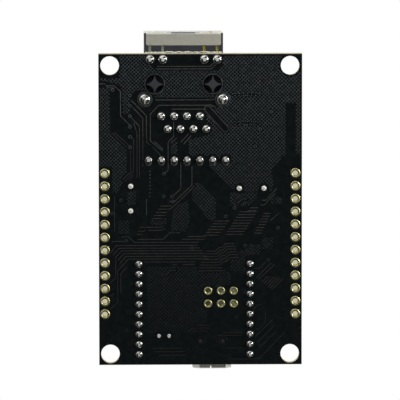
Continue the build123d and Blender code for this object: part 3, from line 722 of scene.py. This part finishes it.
clearances = {
    "left_edge_pads": 1.35, "right_edge_pads": 1.35, "programming_pads": 1.2,
    "jack_pin_solder": 1.15, "jack_light_solder": 1.0, "jack_ground_solder": 1.5,
    "seven_way_solder": 1.15, "radio_socket_solder": 1.1, "crystal_solder": 1.0,
    "capacitor_solder": 1.1,
}
keep_out = [(x, y, gap) for node, gap in clearances.items() for x, y in centres(node)]
hole_x, hole_y = 17.78, 28.575
keep_out += [(x, y, 2.2) for x in (-hole_x, hole_x) for y in (-hole_y, hole_y)]
post_places = [(-3.2 + side * 5.715, -24.95) for side in (-1, 1)]
peg_places = [(2.4 + side * 2.2, 26.0) for side in (-1, 1)]
keep_out += [(x, y, 2.1) for x, y in post_places] + [(x, y, 0.9) for x, y in peg_places]
print(len(keep_out), "pads and holes to keep clear of")

# %% [markdown]
# Vias join the two faces. The mask runs over them, so they show as small rings with a
# darker dimple in the middle. A ring is turned: spin sweeps its outline round an upright
# axis. The same helper turns the solder joints and the plated holes later on.

# %% Vias
via_places = [(-13.8, y) for y in (-22.7, -20.6, -18.6, -16.5, -14.5, -12.5)]
via_places += [(x, 15.0) for x in (-2.2, 0.4)]
via_places += [
    (-17.2, -23.8), (-7.1, -7.2), (-7.2, -2.7), (-5.5, -2.7), (-14.6, 6.1), (-5.4, -1.7),
    (5.1, 1.3), (6.8, -0.4), (8.8, -1.3), (8.9, 7.1), (10.1, 7.1), (13.5, 6.9), (13.5, 9.9),
    (-1.6, 7.6), (2.0, -20.6), (11.9, -16.0), (10.9, -12.6), (14.0, -19.4), (5.8, -22.4),
    (-15.6, -2.0), (-12.9, 22.6), (-4.0, 16.2), (9.0, 16.4), (7.2, 21.3), (-14.6, 23.9),
    (15.4, 3.6), (-17.4, 0.6), (3.4, 15.1), (-7.6, 27.6), (11.2, 29.7),
]


def spun(bm, profile, x, y, steps, closed=False):
    """Turns a profile of (radius, height) pairs, in millimetres, full round an upright axis."""
    verts = [bm.verts.new(((x + r) * mm, y * mm, z * mm)) for r, z in profile]
    pairs = list(zip(verts, verts[1:]))
    if closed:
        pairs.append((verts[-1], verts[0]))
    edges = [bm.edges.new(pair) for pair in pairs]
    bmesh.ops.spin(
        bm, geom=verts + edges, cent=(x * mm, y * mm, 0), axis=(0, 0, 1), angle=2 * math.pi,
        steps=steps, use_merge=True,
    )


def spun_pieces(name, profile, places, steps=16, closed=False, level=0.0):
    """One object of the same turned form at many places, with its normals outwards."""
    bm = bmesh.new()
    for x, y in places:
        spun(bm, [(r, z + level) for r, z in profile], x, y, steps, closed)
    seam = 0.0002 * mm
    bmesh.ops.remove_doubles(bm, verts=bm.verts, dist=seam)
    bmesh.ops.recalc_face_normals(bm, faces=bm.faces)
    return make_object(name, bm, smooth=True)


via_profile = [(0.2, 0.01), (0.22, -0.02), (0.32, -0.02), (0.35, 0.01)]
vias = spun_pieces("solder_side_vias", via_profile, via_places, steps=12, closed=True)
on_board(vias, hatch_finish)
dot_places = [(-9.9, -7.7 + 0.71 * i) for i in range(8)]
dot_places += [(6.9 + 0.82 * i, y) for i in range(7) for y in (-23.1, -22.6, -17.5, -16.9)]
dot_profile = [(0.0, -0.025), (0.1, -0.02), (0.14, 0.01)]
dots = spun_pieces("solder_side_dots", dot_profile, dot_places, steps=8)
on_board(dots, hatch_finish)
keep_out += [(x, y, 0.5) for x, y in via_places] + [(x, y, 0.27) for x, y in dot_places]
keep_out += [(*band_start.lerp(band_end, i / 9), 0.8) for i in range(10)]
print(len(via_places), "vias,", len(dot_places), "dots")

# %% [markdown]
# A low lip of mask runs round the holes for the jack's posts and the socket's pegs, round
# the jack's ground joints and round the plain band of copper. A torus would do for the round
# ones, but the same flat ridge serves for all.

# %% Lips in the mask
def ring_path(x, y, radius, start=0.0, end=360.0, steps=28):
    """Points along an arc, in millimetres."""
    angles = [math.radians(start + (end - start) * i / steps) for i in range(steps + 1)]
    return [Vector((x + radius * math.cos(a), y + radius * math.sin(a))) for a in angles]


along = math.degrees(math.atan2(*reversed(band_end - band_start)))
band_path = ring_path(*band_start, band_half_width, along + 90, along + 270, 8)
band_path += ring_path(*band_end, band_half_width, along - 90, along + 90, 8)
lips = [ring_path(x, y, 1.95) for x, y in post_places]
lips += [ring_path(x, y, 1.42) for x, y in centres("jack_ground_solder")]
lips += [ring_path(x, y, 0.75) for x, y in peg_places]
on_board(ridges("solder_side_lips", lips, 0.08, 0.02, solder_face), hatch_finish)
band_outline = ridges("plain_band", [band_path + band_path[:1]], 0.08, 0.012, solder_face)
on_board(band_outline, faint_finish)
print(len(lips), "lips")

# %% [markdown]
# Each line of the net is sampled every tenth of a millimetre. A sample is kept where it is
# inside an area and clear of every disc and trace, and each run of kept samples becomes one
# stretch of line. NumPy tests all samples of a line at once, which keeps this quick.

# %% The net
hatch_step = 0.508 * math.sqrt(2)
trace_ends = np.array(
    [(a.x, a.y, b.x, b.y) for path in trace_paths + faint_paths for a, b in zip(path, path[1:])]
)
discs = np.array(keep_out)


def inside(points, area):
    """Which points lie in a polygon: an odd number of its sides pass to their right."""
    x, y = points.T
    within = np.zeros(len(points), bool)
    for (ax, ay), (bx, by) in zip(area, area[1:] + area[:1]):
        if ay != by:
            crosses = (y < ay) != (y < by)
            within ^= crosses & (x < ax + (y - ay) / (by - ay) * (bx - ax))
    return within


def clear(points, gap=0.3):
    """Which points are clear of every disc and of every stretch of trace."""
    start, end = trace_ends[:, :2], trace_ends[:, 2:]
    along = end - start
    from_start = points[:, None] - start
    share = (from_start * along).sum(2) / np.maximum((along**2).sum(1), 1e-9)
    off = from_start - np.clip(share, 0, 1)[..., None] * along
    off_discs = points[:, None] - discs[:, :2]
    clear_of_discs = (np.hypot(*off_discs.transpose(2, 0, 1)) > discs[:, 2]).all(1)
    return clear_of_discs & (np.hypot(*off.transpose(2, 0, 1)) > gap).all(1)


def net(areas, sample=0.1, shortest=4):
    """The stretches of both families of net lines that fall in the areas."""
    net_x, net_y, most_lines = 19.9, 30.7, 75
    stretches = []
    for slope in (1, -1):
        for k in range(-most_lines, most_lines + 1):
            x = np.arange(-net_x, net_x, sample)
            points = np.stack([x, slope * x + k * hatch_step], 1)
            points = points[np.abs(points[:, 1]) < net_y]
            if not len(points):
                continue
            keep = np.any([inside(points, area) for area in areas], 0)
            keep[keep] = clear(points[keep])
            edges = np.flatnonzero(np.diff(np.concatenate([[0], keep, [0]])))
            for first, last in zip(edges[::2], edges[1::2]):
                if last - first >= shortest:
                    stretches.append((points[first], points[last - 1]))
    return stretches


net_lines = net(hatch_areas)
print(len(net_lines), "stretches of net")
hatch = ridges("solder_side_net", net_lines, 0.034, 0.018, solder_face)
on_board(hatch, hatch_finish)

# %% [markdown]
# ## Metals
# Tin, gold and sheet steel could each have a finish of their own. One recipe with different
# numbers does: a colour that tarnishes in patches, a fine grain and an uneven gloss. Leads
# that were dipped in solder turn from their own colour to tin at the board.


# %% Metals
def metal(
    name, colour, other, roughness, grain=0.06 * mm, depth=0.004 * mm, stretch=(1, 1, 1),
    dipped=False, painted_highlight=None,
):
    """A metal with patchy tarnish, a fine grain and uneven gloss. Dipped ends are tinned.

    The last argument is a function of the shader that says where a highlight is painted on: a
    satin white that is hardly metallic.
    """
    material, shader = new_material(name)
    patches = shader.noise(0.9 * mm, 3.0).over(0.35, 0.7)
    fine = shader.noise(grain, 3.0, stretch=stretch)
    colour = shader.blend(patches, colour, other)
    roughness = roughness + 0.12 * fine + 0.06 * patches
    if dipped:
        dry = shader.axis(shader.place(), "Z").over(-0.1 * mm, 0.1 * mm)
        colour = shader.blend(dry, grey(0.72, 0.01), colour)
        roughness = roughness + (1 - dry) * 0.3
    metallic = 1.0
    # Painted highlight: where the last argument says, the colour turns a satin white and loses
    # most of its metal.
    if painted_highlight:
        share = painted_highlight(shader)
        colour = shader.blend(share, colour, (0.96, 0.95, 0.93, 1))
        metallic = 1 - 0.75 * share
    shader.surface(colour, roughness, metallic=metallic, normal=shader.bump(fine, depth))
    return material


tin = metal("tin", grey(0.6, 0.03), grey(0.42, 0.04), 0.25, stretch=(1, 1, 0.2), dipped=True)
green_tin = metal("green_tin", (0.78, 0.92, 0.66, 1), (0.6, 0.71, 0.5, 1), 0.4, dipped=True)
yellow_tin = metal("yellow_tin", (0.96, 0.86, 0.15, 1), (0.8, 0.7, 0.1, 1), 0.4, dipped=True)
gold = metal("gold", (0.60, 0.57, 0.28, 1), (0.47, 0.44, 0.2, 1), 0.28)
spring_gold = metal("spring_gold", (0.85, 0.62, 0.24, 1), (0.7, 0.48, 0.17, 1), 0.2, dipped=True)
can_metal = metal(
    "can_metal", grey(0.62, 0.02), grey(0.5, 0.03), 0.24, grain=0.15 * mm, depth=0.001 * mm
)
print(len(bpy.data.materials), "finishes so far")

# %% [markdown]
# Solder is smoother than sheet. It froze with soft lumps, bright between duller patches. The
# smallest joints get a painted highlight instead: they are pale and hardly metallic, so they
# look white all over.


# %% Solder
def solder(name, level, roughness, lump_depth, metallic=1.0):
    """Solder that froze with soft lumps, shiny between them."""
    material, shader = new_material(name)
    lumps = shader.noise(0.6 * mm, 1.0)
    fine = shader.noise(0.07 * mm, 3.0)
    dull = shader.noise(0.45 * mm, 2.0).over(0.5, 0.75)
    bright = (level, 1.01 * level, 0.93 * level, 1)
    worn = (0.6 * level, 0.6 * level, 0.54 * level, 1)
    shader.surface(
        shader.blend(dull, bright, worn), roughness + 0.12 * dull, metallic=metallic,
        normal=shader.bump(lumps + 0.04 * fine, lump_depth),
    )
    return material


solder_metal = solder("solder_metal", 0.72, 0.12, 0.03 * mm)
# Painted highlight: the smallest joints are pale, nearly white and hardly metallic.
highlit_solder = solder("highlit_solder", 0.97, 0.25, 0.1 * mm, metallic=0.08)
dull_solder = solder("dull_solder", 0.44, 0.16, 0.03 * mm)
joint_metals = {
    "crystal_solder": highlit_solder, "capacitor_solder": highlit_solder,
    "seven_way_solder": dull_solder,
}
print(len(joint_metals), "rows of joints have a solder of their own")

# %% [markdown]
# The jack's shield is folded from plated sheet. The sheared edges of the plug opening, and the
# front of the fold under it, catch the light: a painted highlight makes them a satin white
# line. It is found by place and by the way each face looks, so the sheet stays one piece.

# %% Shield of the jack
shield_low, shield_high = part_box("network_jack_shield")
jack_front = shield_low.y
jack_middle = (shield_low.x + shield_high.x) / 2


def cut_edges(shader):
    """Where the highlight is painted: the sheared edges of the plug opening, and the very front of
    the fold under it.
    """
    across, along, height = (shader.axis(shader.place(), letter) for letter in "XYZ")
    in_plate = 1 - along.over(jack_front + 0.26 * mm, jack_front + 0.3 * mm)
    in_opening = 1 - abs(across - jack_middle).over(6.4 * mm, 6.5 * mm)
    in_opening = in_opening * height.between(1.86 * mm, 13.3 * mm, 0.1 * mm)
    sheared = 1 - shader.facing("Y").over(0.3, 0.6)
    front_of_fold = 1 - along.over(jack_front, jack_front + 0.08 * mm)
    under_opening = 1 - height.over(1.8 * mm, 1.86 * mm)
    return front_of_fold * under_opening + in_plate * in_opening * sheared


shield_metal = metal(
    "shield_metal", (0.70, 0.68, 0.58, 1), (0.62, 0.6, 0.51, 1), 0.42, stretch=(0.15, 1, 1),
    painted_highlight=cut_edges,
)
hem_metal = metal("hem_metal", (0.66, 0.67, 0.63, 1), (0.6, 0.61, 0.57, 1), 0.4)
print("jack's front at", round(jack_front / mm, 2), "mm")

# %% [markdown]
# The shell of the small socket has a band of painted shade near its mouth, a weaker painted
# highlight on the lip round that band, and a painted highlight on its flared corners, so bright
# that they look white. All of that is in the finish, by place.

# %% Shell of the small socket
shell_metal, shader = new_material("shell_metal")
along_x, along_y = (shader.axis(shader.place(), letter) for letter in "XY")
past_corners = 1 - along_x.between(-0.1 * mm, 5.05 * mm, 0.1 * mm)
# Painted highlight: the flared corners are white and hardly metallic.
flare_highlights = past_corners * along_y.over(30.9 * mm, 31.0 * mm)
# Painted shade: a dark band near the mouth.
shade_band = along_y.between(31.24 * mm, 31.42 * mm, 0.06 * mm)
# A weaker painted highlight: the lip near the mouth is a little less metallic, so it looks paler.
lip = along_y.over(30.95 * mm, 31.05 * mm)
fine = shader.noise(0.06 * mm, 3.0)
colour = shader.blend(shade_band * (1 - flare_highlights), (0.94, 0.93, 0.88, 1), (0.42, 0.41, 0.38, 1))
metallic = 1 - 0.75 * flare_highlights - 0.2 * lip * (1 - shade_band) * (1 - flare_highlights)
shader.surface(colour, 0.4 + 0.06 * fine, metallic=metallic, normal=shader.bump(fine, 0.003 * mm))
print(len(shell_metal.node_tree.nodes), "nodes in the shell's finish")

# %% [markdown]
# ## Solder joints
# A joint could be a plain cone. Real ones are rounder: a dome that wets its pin, with a
# shallow moat where it shrank. Each is turned from half its outline, at the places of the
# packed joints that it stands for. One row froze drawn out along the board, so its feet are
# moved while the tips stay where the pins are.


# %% Solder joints
def joint_profile(foot, tip, height):
    """A round dome of solder that points down, with a shallow moat round the tip of its pin."""
    dome = 0.62 * foot
    angles = [math.radians(angle) for angle in (0, 12, 25, 38, 50)]
    sides = [(foot * math.cos(angle), -dome * math.sin(angle)) for angle in angles]
    waist = (tip * 1.35, -dome * 0.74)
    collar = (tip, -dome * 0.8)
    end = [(tip, -height + 0.14), (tip * 0.8, -height + 0.04), (tip * 0.4, -height)]
    return [(0.0, 0.02), (foot, 0.02)] + sides + [waist, collar] + end + [(0.0, -height - 0.02)]


joint_sizes = {
    "jack_pin_solder": (0.86, 0.3, 1.0),
    "jack_light_solder": (0.95, 0.32, 0.95),
    "jack_ground_solder": (1.25, 0.45, 1.0),
    "seven_way_solder": (0.8, 0.28, 0.9),
    "radio_socket_solder": (0.76, 0.26, 0.85),
    "crystal_solder": (0.5, 0.26, 0.66),
    "capacitor_solder": (0.34, 0.18, 0.9),
}
foot_drifts = {"seven_way_solder": (0.3, 0.3), "radio_socket_solder": (-0.12, -0.03)}


def drift(joints, places, stretch, shift):
    """Draws the feet of joints out along the board, as they froze. Their tips stay in place."""
    places = np.array(places) * mm
    for vert in joints.data.vertices:
        here = np.array(vert.co.to_2d())
        centre = places[np.hypot(*(places - here).T).argmin()]
        share = min(1.0, max(0.0, 1 + vert.co.z / (0.8 * mm)))
        vert.co.y += share * (stretch * (vert.co.y - centre[1]) + shift * mm)


for node, sizes in joint_sizes.items():
    joints = spun_pieces(node + "_joints", joint_profile(*sizes), centres(node), steps=20)
    if node in foot_drifts:
        drift(joints, centres(node), *foot_drifts[node])
    on_board(joints, joint_metals.get(node, solder_metal), [node])
print("solder joints:", sum(len(centres(node)) for node in joint_sizes))


# %% [markdown]
# A plated hole is one closed outline, turned like an eyelet: over the upper face, down the
# barrel, over the lower face, and back inside the board.


# %% Plated holes
def eyelet_profile(pad, hole):
    """A plated hole: a soft-edged ring on each face and the barrel between them."""
    thickness, skin = part_face / mm, 0.05
    top_ring = [(pad, thickness - 0.01), (pad - 0.05, thickness + skin)]
    top_ring += [(hole + 0.12, thickness + skin), (hole, thickness - 0.06)]
    bottom_ring = [(r, thickness - z) for r, z in reversed(top_ring)]
    inside_board = [(pad - 0.02, 0.01), (hole + 0.02, 0.03)]
    inside_board += [(hole + 0.02, thickness - 0.03), (pad - 0.02, thickness - 0.02)]
    return top_ring + bottom_ring + inside_board


for node, pad, hole in (
    ("left_edge_pads", 1.0, 0.52), ("right_edge_pads", 1.0, 0.52), ("programming_pads", 0.84, 0.46)
):
    rings = spun_pieces(node + "_rings", eyelet_profile(pad, hole), centres(node), 28, closed=True)
    on_board(rings, gold, [node])
    print(len(centres(node)), "plated holes in", node)

# %% [markdown]
# ## The component side
# White outlines are printed round the parts. Print is a film with slightly ragged edges. It
# could be painted by the board's finish, but the same low ridge as a trace's is simpler, in a
# chalky white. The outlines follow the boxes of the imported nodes.

# %% Printed outlines
ink, shader = new_material("print_white")
ragged = shader.noise(0.09 * mm, 3.0).over(0.3, 0.6)
shader.surface(
    shader.blend(ragged, (0.62, 0.62, 0.6, 1), (0.78, 0.78, 0.75, 1)), 0.55 + 0.15 * ragged,
    normal=shader.bump(ragged, 0.004 * mm),
)


def corners(node, margin):
    """The corners of a node's box seen from above, in millimetres, with a margin."""
    near, far = (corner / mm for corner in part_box(node))
    return near.x - margin, near.y - margin, far.x + margin, far.y + margin


outlines = []
for node, margin in (
    ("radio_socket_left", 0.35), ("radio_socket_right", 0.35), ("seven_way_socket", 0.35),
    ("programming_pads", 0.35), ("microcontroller", 0.25), ("network_controller", 0.25),
    ("controller_crystal", 0.3), ("network_crystal", 0.3),
):
    x0, y0, x1, y1 = corners(node, margin)
    trace((x0, y0), (x1, y0), (x1, y1), (x0, y1), (x0, y0), paths=outlines)
x0, y0, x1, y1 = corners("smoothing_capacitor", 0.3)
can_centre = ((x0 + x1) / 2, (y0 + y1) / 2)
outlines.append(ring_path(*can_centre, (x1 - x0) / 2))
x0, y0, x1, y1 = corners("left_edge_pads", 0.3)
trace((x1, y0), (x1, y1), paths=outlines)
x0, y0, x1, y1 = corners("right_edge_pads", 0.3)
trace((x0, y0), (x0, y1), paths=outlines)
x0, y0, x1, y1 = corners("usb_shell", 0.3)
trace((x0, y1 - 1.5), (x0, y0), (x1, y0), (x1, y1 - 1.5), paths=outlines)
x0, y0, x1, y1 = corners("network_jack_housing", 0.3)
y0, y1 = -30.2, shield_high.y / mm + 0.3
trace((x0, y0), (x0, y1), (x1, y1), (x1, y0), paths=outlines)
print(len(outlines), "printed outlines")
on_board(ridges("printed_outlines", outlines, 0.075, 0.012, part_face), ink)

# %% [markdown]
# The upper face has traces and vias too. They fan out from the two controllers in loops,
# and the vias are those of the solder side, seen from their other end.

# %% Traces on the upper face
upper_paths = []
x0, y0, x1, y1 = corners("microcontroller", 1.6)
for i in range(7):
    y = y0 + 1.4 + 0.75 * i
    far_y = y + 0.5 * (i - 3)
    left, right = -14.6 + 0.1 * i, 13.8 - 0.1 * i
    trace((x0 + 0.6, y), (x0 - 0.6, y), (x0 - 1.6, far_y), (left, far_y), paths=upper_paths)
    trace((x1 - 0.6, y), (x1 + 0.6, y), (x1 + 1.6, far_y), (right, far_y), paths=upper_paths)
for i in range(5):
    x = x0 + 1.8 + 0.75 * i
    bend = (x - 1.2, y1 + 1.8)
    trace((x, y1 - 0.6), (x, y1 + 0.6), bend, (x - 1.2, y1 + 5.5), paths=upper_paths)
x0, y0, x1, y1 = corners("network_controller", 0.8)
for i in range(8):
    x, reach = x0 + 1.5 + 0.65 * i, 0.3 * i
    trace((x, y1), (x, y1 + 0.8 + reach), (x - 1.0, y1 + 1.8 + reach), paths=upper_paths)
print(len(upper_paths), "traces on the upper face")
upper_finish = copper_finish(
    "upper_trace_finish", (0.009, 0.0105, 0.0105, 1), (0.03, 0.032, 0.03, 1), 1.0, -25, 25
)
on_board(ridges("component_side_traces", upper_paths, 0.1, 0.02, part_face), upper_finish)
upper_profile = [(r, part_face / mm - z) for r, z in via_profile]
upper_vias = spun_pieces("component_side_vias", upper_profile, via_places, steps=12, closed=True)
on_board(upper_vias, upper_finish)

# %% [markdown]
# A bead of white sealant shows between the jack and the end of the board. It is squeezed
# into the corner under the jack, so it is a tube whose path and width vary a little from
# point to point. The draws are seeded, which gives the same bead on every run.

# %% Bead of sealant
random.seed(7)
bead_start, bead_end, bead_count = -10.8, 4.4, 70
bead_path = []
for i in range(bead_count):
    x = bead_start + (bead_end - bead_start) * i / (bead_count - 1)
    fullness = 1 if -7.0 < x < 1.5 else 0.4
    y = board_low.y / mm - 0.1 - random.uniform(0.0, 0.16) * fullness
    z = part_face / mm - random.uniform(0.02, 0.16)
    bead_path.append((x, y, z, random.uniform(0.6, 1.25)))
bead_mesh = tubes("sealant_bead", [bead_path], 0.15, roundness=2)
bead_mesh.shade_smooth()
bead = add_object("sealant_bead", bead_mesh)
sealant, shader = new_material("sealant")
cloudy = shader.noise(0.3 * mm, 3.0)
shader.surface(
    shader.blend(cloudy.over(0.35, 0.65), (0.80, 0.79, 0.68, 1), (0.5, 0.5, 0.44, 1)),
    0.3 + 0.2 * cloudy, normal=shader.bump(cloudy, 0.02 * mm),
)
on_board(bead, sealant)
print(len(bead_mesh.polygons), "faces in the bead")

# %% [markdown]
# The sheet under the keyway is closed by a narrow hem with a crease along it. The hem has
# the same section all along, so it is one face of (y, z) corners, extruded sideways.

# %% Hem under the keyway
hem_half_width = 2.32
hem_corners = [
    (0.0, 1.85), (0.01, 1.77), (0.06, 1.68), (0.12, 1.62), (0.16, 1.60), (0.29, 1.69),
    (0.44, 1.60), (0.49, 1.61), (0.49, 1.85),
]
bm = bmesh.new()
end_face = bm.faces.new(
    [
        bm.verts.new((jack_middle - hem_half_width * mm, jack_front + y * mm, z * mm))
        for y, z in hem_corners
    ]
)
extruded = bmesh.ops.extrude_face_region(bm, geom=[end_face])["geom"]
moved = [item for item in extruded if isinstance(item, bmesh.types.BMVert)]
bmesh.ops.translate(bm, vec=(2 * hem_half_width * mm, 0, 0), verts=moved)
bmesh.ops.recalc_face_normals(bm, faces=bm.faces)
on_board(make_object("keyway_hem", bm), hem_metal)
print("hem", 2 * hem_half_width, "mm wide")

# %% [markdown]
# ## Plastics and small parts
# Moulded nylon has a fine spark-eroded texture and soft gloss. The lights are clear tinted
# plastic, chips are matt epoxy, and the small parts are glazed ceramic. One recipe serves
# all of them, with a grain as fine as each one's own.


# %% Plastics
def plastic(name, colour, other, roughness, grain=0.1 * mm, depth=0.006 * mm, **constants):
    """Moulded plastic with a fine texture and slightly uneven gloss."""
    material, shader = new_material(name)
    fine = shader.noise(grain, 3.0)
    patches = shader.noise(2.2 * mm, 3.0).over(0.3, 0.75)
    shader.surface(
        shader.blend(patches, colour, other), roughness + 0.16 * fine,
        normal=shader.bump(fine, depth), **constants,
    )
    return material


nylon = plastic("nylon", (0.018, 0.021, 0.026, 1), (0.026, 0.03, 0.036, 1), 0.34)
# Painted shade: a darker copy of the nylon for the small socket's insert, so that its pegs look as
# dark as the shade in their holes.
shaded_nylon = plastic("shaded_nylon", (0.004, 0.004, 0.005, 1), (0.007, 0.007, 0.008, 1), 0.5)
epoxy = plastic("epoxy", (0.017, 0.017, 0.018, 1), (0.026, 0.026, 0.027, 1), 0.5, 0.06 * mm)
green_lens = plastic(
    "green_lens", (0.16, 0.42, 0.2, 1), (0.24, 0.5, 0.26, 1), 0.18, transmission_weight=0.35
)
yellow_lens = plastic(
    "yellow_lens", (0.66, 0.5, 0.1, 1), (0.74, 0.58, 0.16, 1), 0.18, transmission_weight=0.35
)
resistor_body = plastic("resistor_body", (0.018, 0.018, 0.02, 1), (0.03, 0.03, 0.032, 1), 0.3)
ceramic = plastic("ceramic", (0.30, 0.19, 0.10, 1), (0.38, 0.25, 0.14, 1), 0.42, 0.05 * mm)
indicator_body = plastic(
    "indicator_body", (0.72, 0.74, 0.66, 1), (0.8, 0.8, 0.7, 1), 0.25, transmission_weight=0.2
)
print(len(bpy.data.materials), "finishes so far")

# %% [markdown]
# A small round dimple marks one corner of each controller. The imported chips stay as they
# are, and the dimple is a shallow turned dish with a raised rim on top.

# %% Dimples in the chips
dimple_profile = [(0.0, 0.004), (0.2, 0.008), (0.3, 0.02), (0.34, 0.02), (0.37, -0.01)]
dimple_inset = 0.9
for node in ("microcontroller", "network_controller"):
    near, far = (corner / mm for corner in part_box(node))
    corner = (near.x + dimple_inset, far.y - dimple_inset)
    dimple = spun_pieces(node + "_dimple", dimple_profile, [corner], steps=20, level=far.z)
    on_board(dimple, epoxy)
    print("dimple on", node)

# %% [markdown]
# The capacitor's sleeve has a pale stripe down its negative side, and its top is bare
# metal. Both are found by their place on the can, so one finish dresses the whole solid.

# %% Capacitor
near, far = (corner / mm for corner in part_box("smoothing_capacitor"))
width, depth = far.x - near.x, far.y - near.y
sleeve, shader = new_material("capacitor_sleeve")
x, y, z = (shader.axis(shader.place(), letter) for letter in "XYZ")
x, y = x - can_centre[0] * mm, y - can_centre[1] * mm
from_axis = (x * x + y * y).square_root()
bare = 1 - from_axis.over((width / 2 - 0.65) * mm, (width / 2 - 0.55) * mm)
bare = bare * z.over((far.z - 0.4) * mm, (far.z - 0.2) * mm)
stripe = (-y).over(0.4 * depth * mm, 0.42 * depth * mm)
cloudy = shader.noise(0.8 * mm, 3.0)
film = shader.blend(cloudy.over(0.3, 0.7), (0.014, 0.016, 0.028, 1), (0.02, 0.023, 0.038, 1))
film = shader.blend(stripe, film, (0.42, 0.43, 0.45, 1))
shader.surface(
    shader.blend(bare, film, grey(0.62)), 0.24 + 0.1 * cloudy + 0.1 * bare, metallic=bare,
    normal=shader.bump(cloudy, 0.01 * mm),
)
print(len(sleeve.node_tree.nodes), "nodes in the sleeve's finish")

# %% [markdown]
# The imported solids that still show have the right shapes, and each gets one of the finishes
# above. The joints and pads that were replaced need none.

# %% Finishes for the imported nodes
finishes = (
    (shield_metal, "network_jack_shield"),
    (shell_metal, "usb_shell"),
    (nylon, "network_jack_housing", "network_jack_insert"),
    (nylon, "radio_socket_left", "radio_socket_right", "seven_way_socket"),
    (shaded_nylon, "usb_insert"),
    (spring_gold, "network_jack_springs", "usb_contacts", "seven_way_socket_contacts"),
    (spring_gold, "radio_socket_left_contacts", "radio_socket_right_contacts"),
    (tin, "network_jack_pins", "microcontroller_leads", "network_controller_leads"),
    (tin, "controller_crystal_leads", "network_crystal_leads", "smoothing_capacitor_leads"),
    (tin, "chip_resistor_ends", "chip_capacitor_ends", "indicator_light_ends"),
    (tin, "voltage_regulator_leads"),
    (green_tin, "link_light_leads"),
    (yellow_tin, "activity_light_leads"),
    (green_lens, "link_light"),
    (yellow_lens, "activity_light"),
    (can_metal, "controller_crystal", "network_crystal"),
    (sleeve, "smoothing_capacitor"),
    (epoxy, "microcontroller", "network_controller", "voltage_regulator"),
    (resistor_body, "chip_resistors"),
    (ceramic, "chip_capacitors"),
    (indicator_body, "indicator_lights"),
)
for material, *nodes in finishes:
    paint(material, *nodes)
print(1 + sum(len(nodes) for _, *nodes in finishes), "nodes painted")
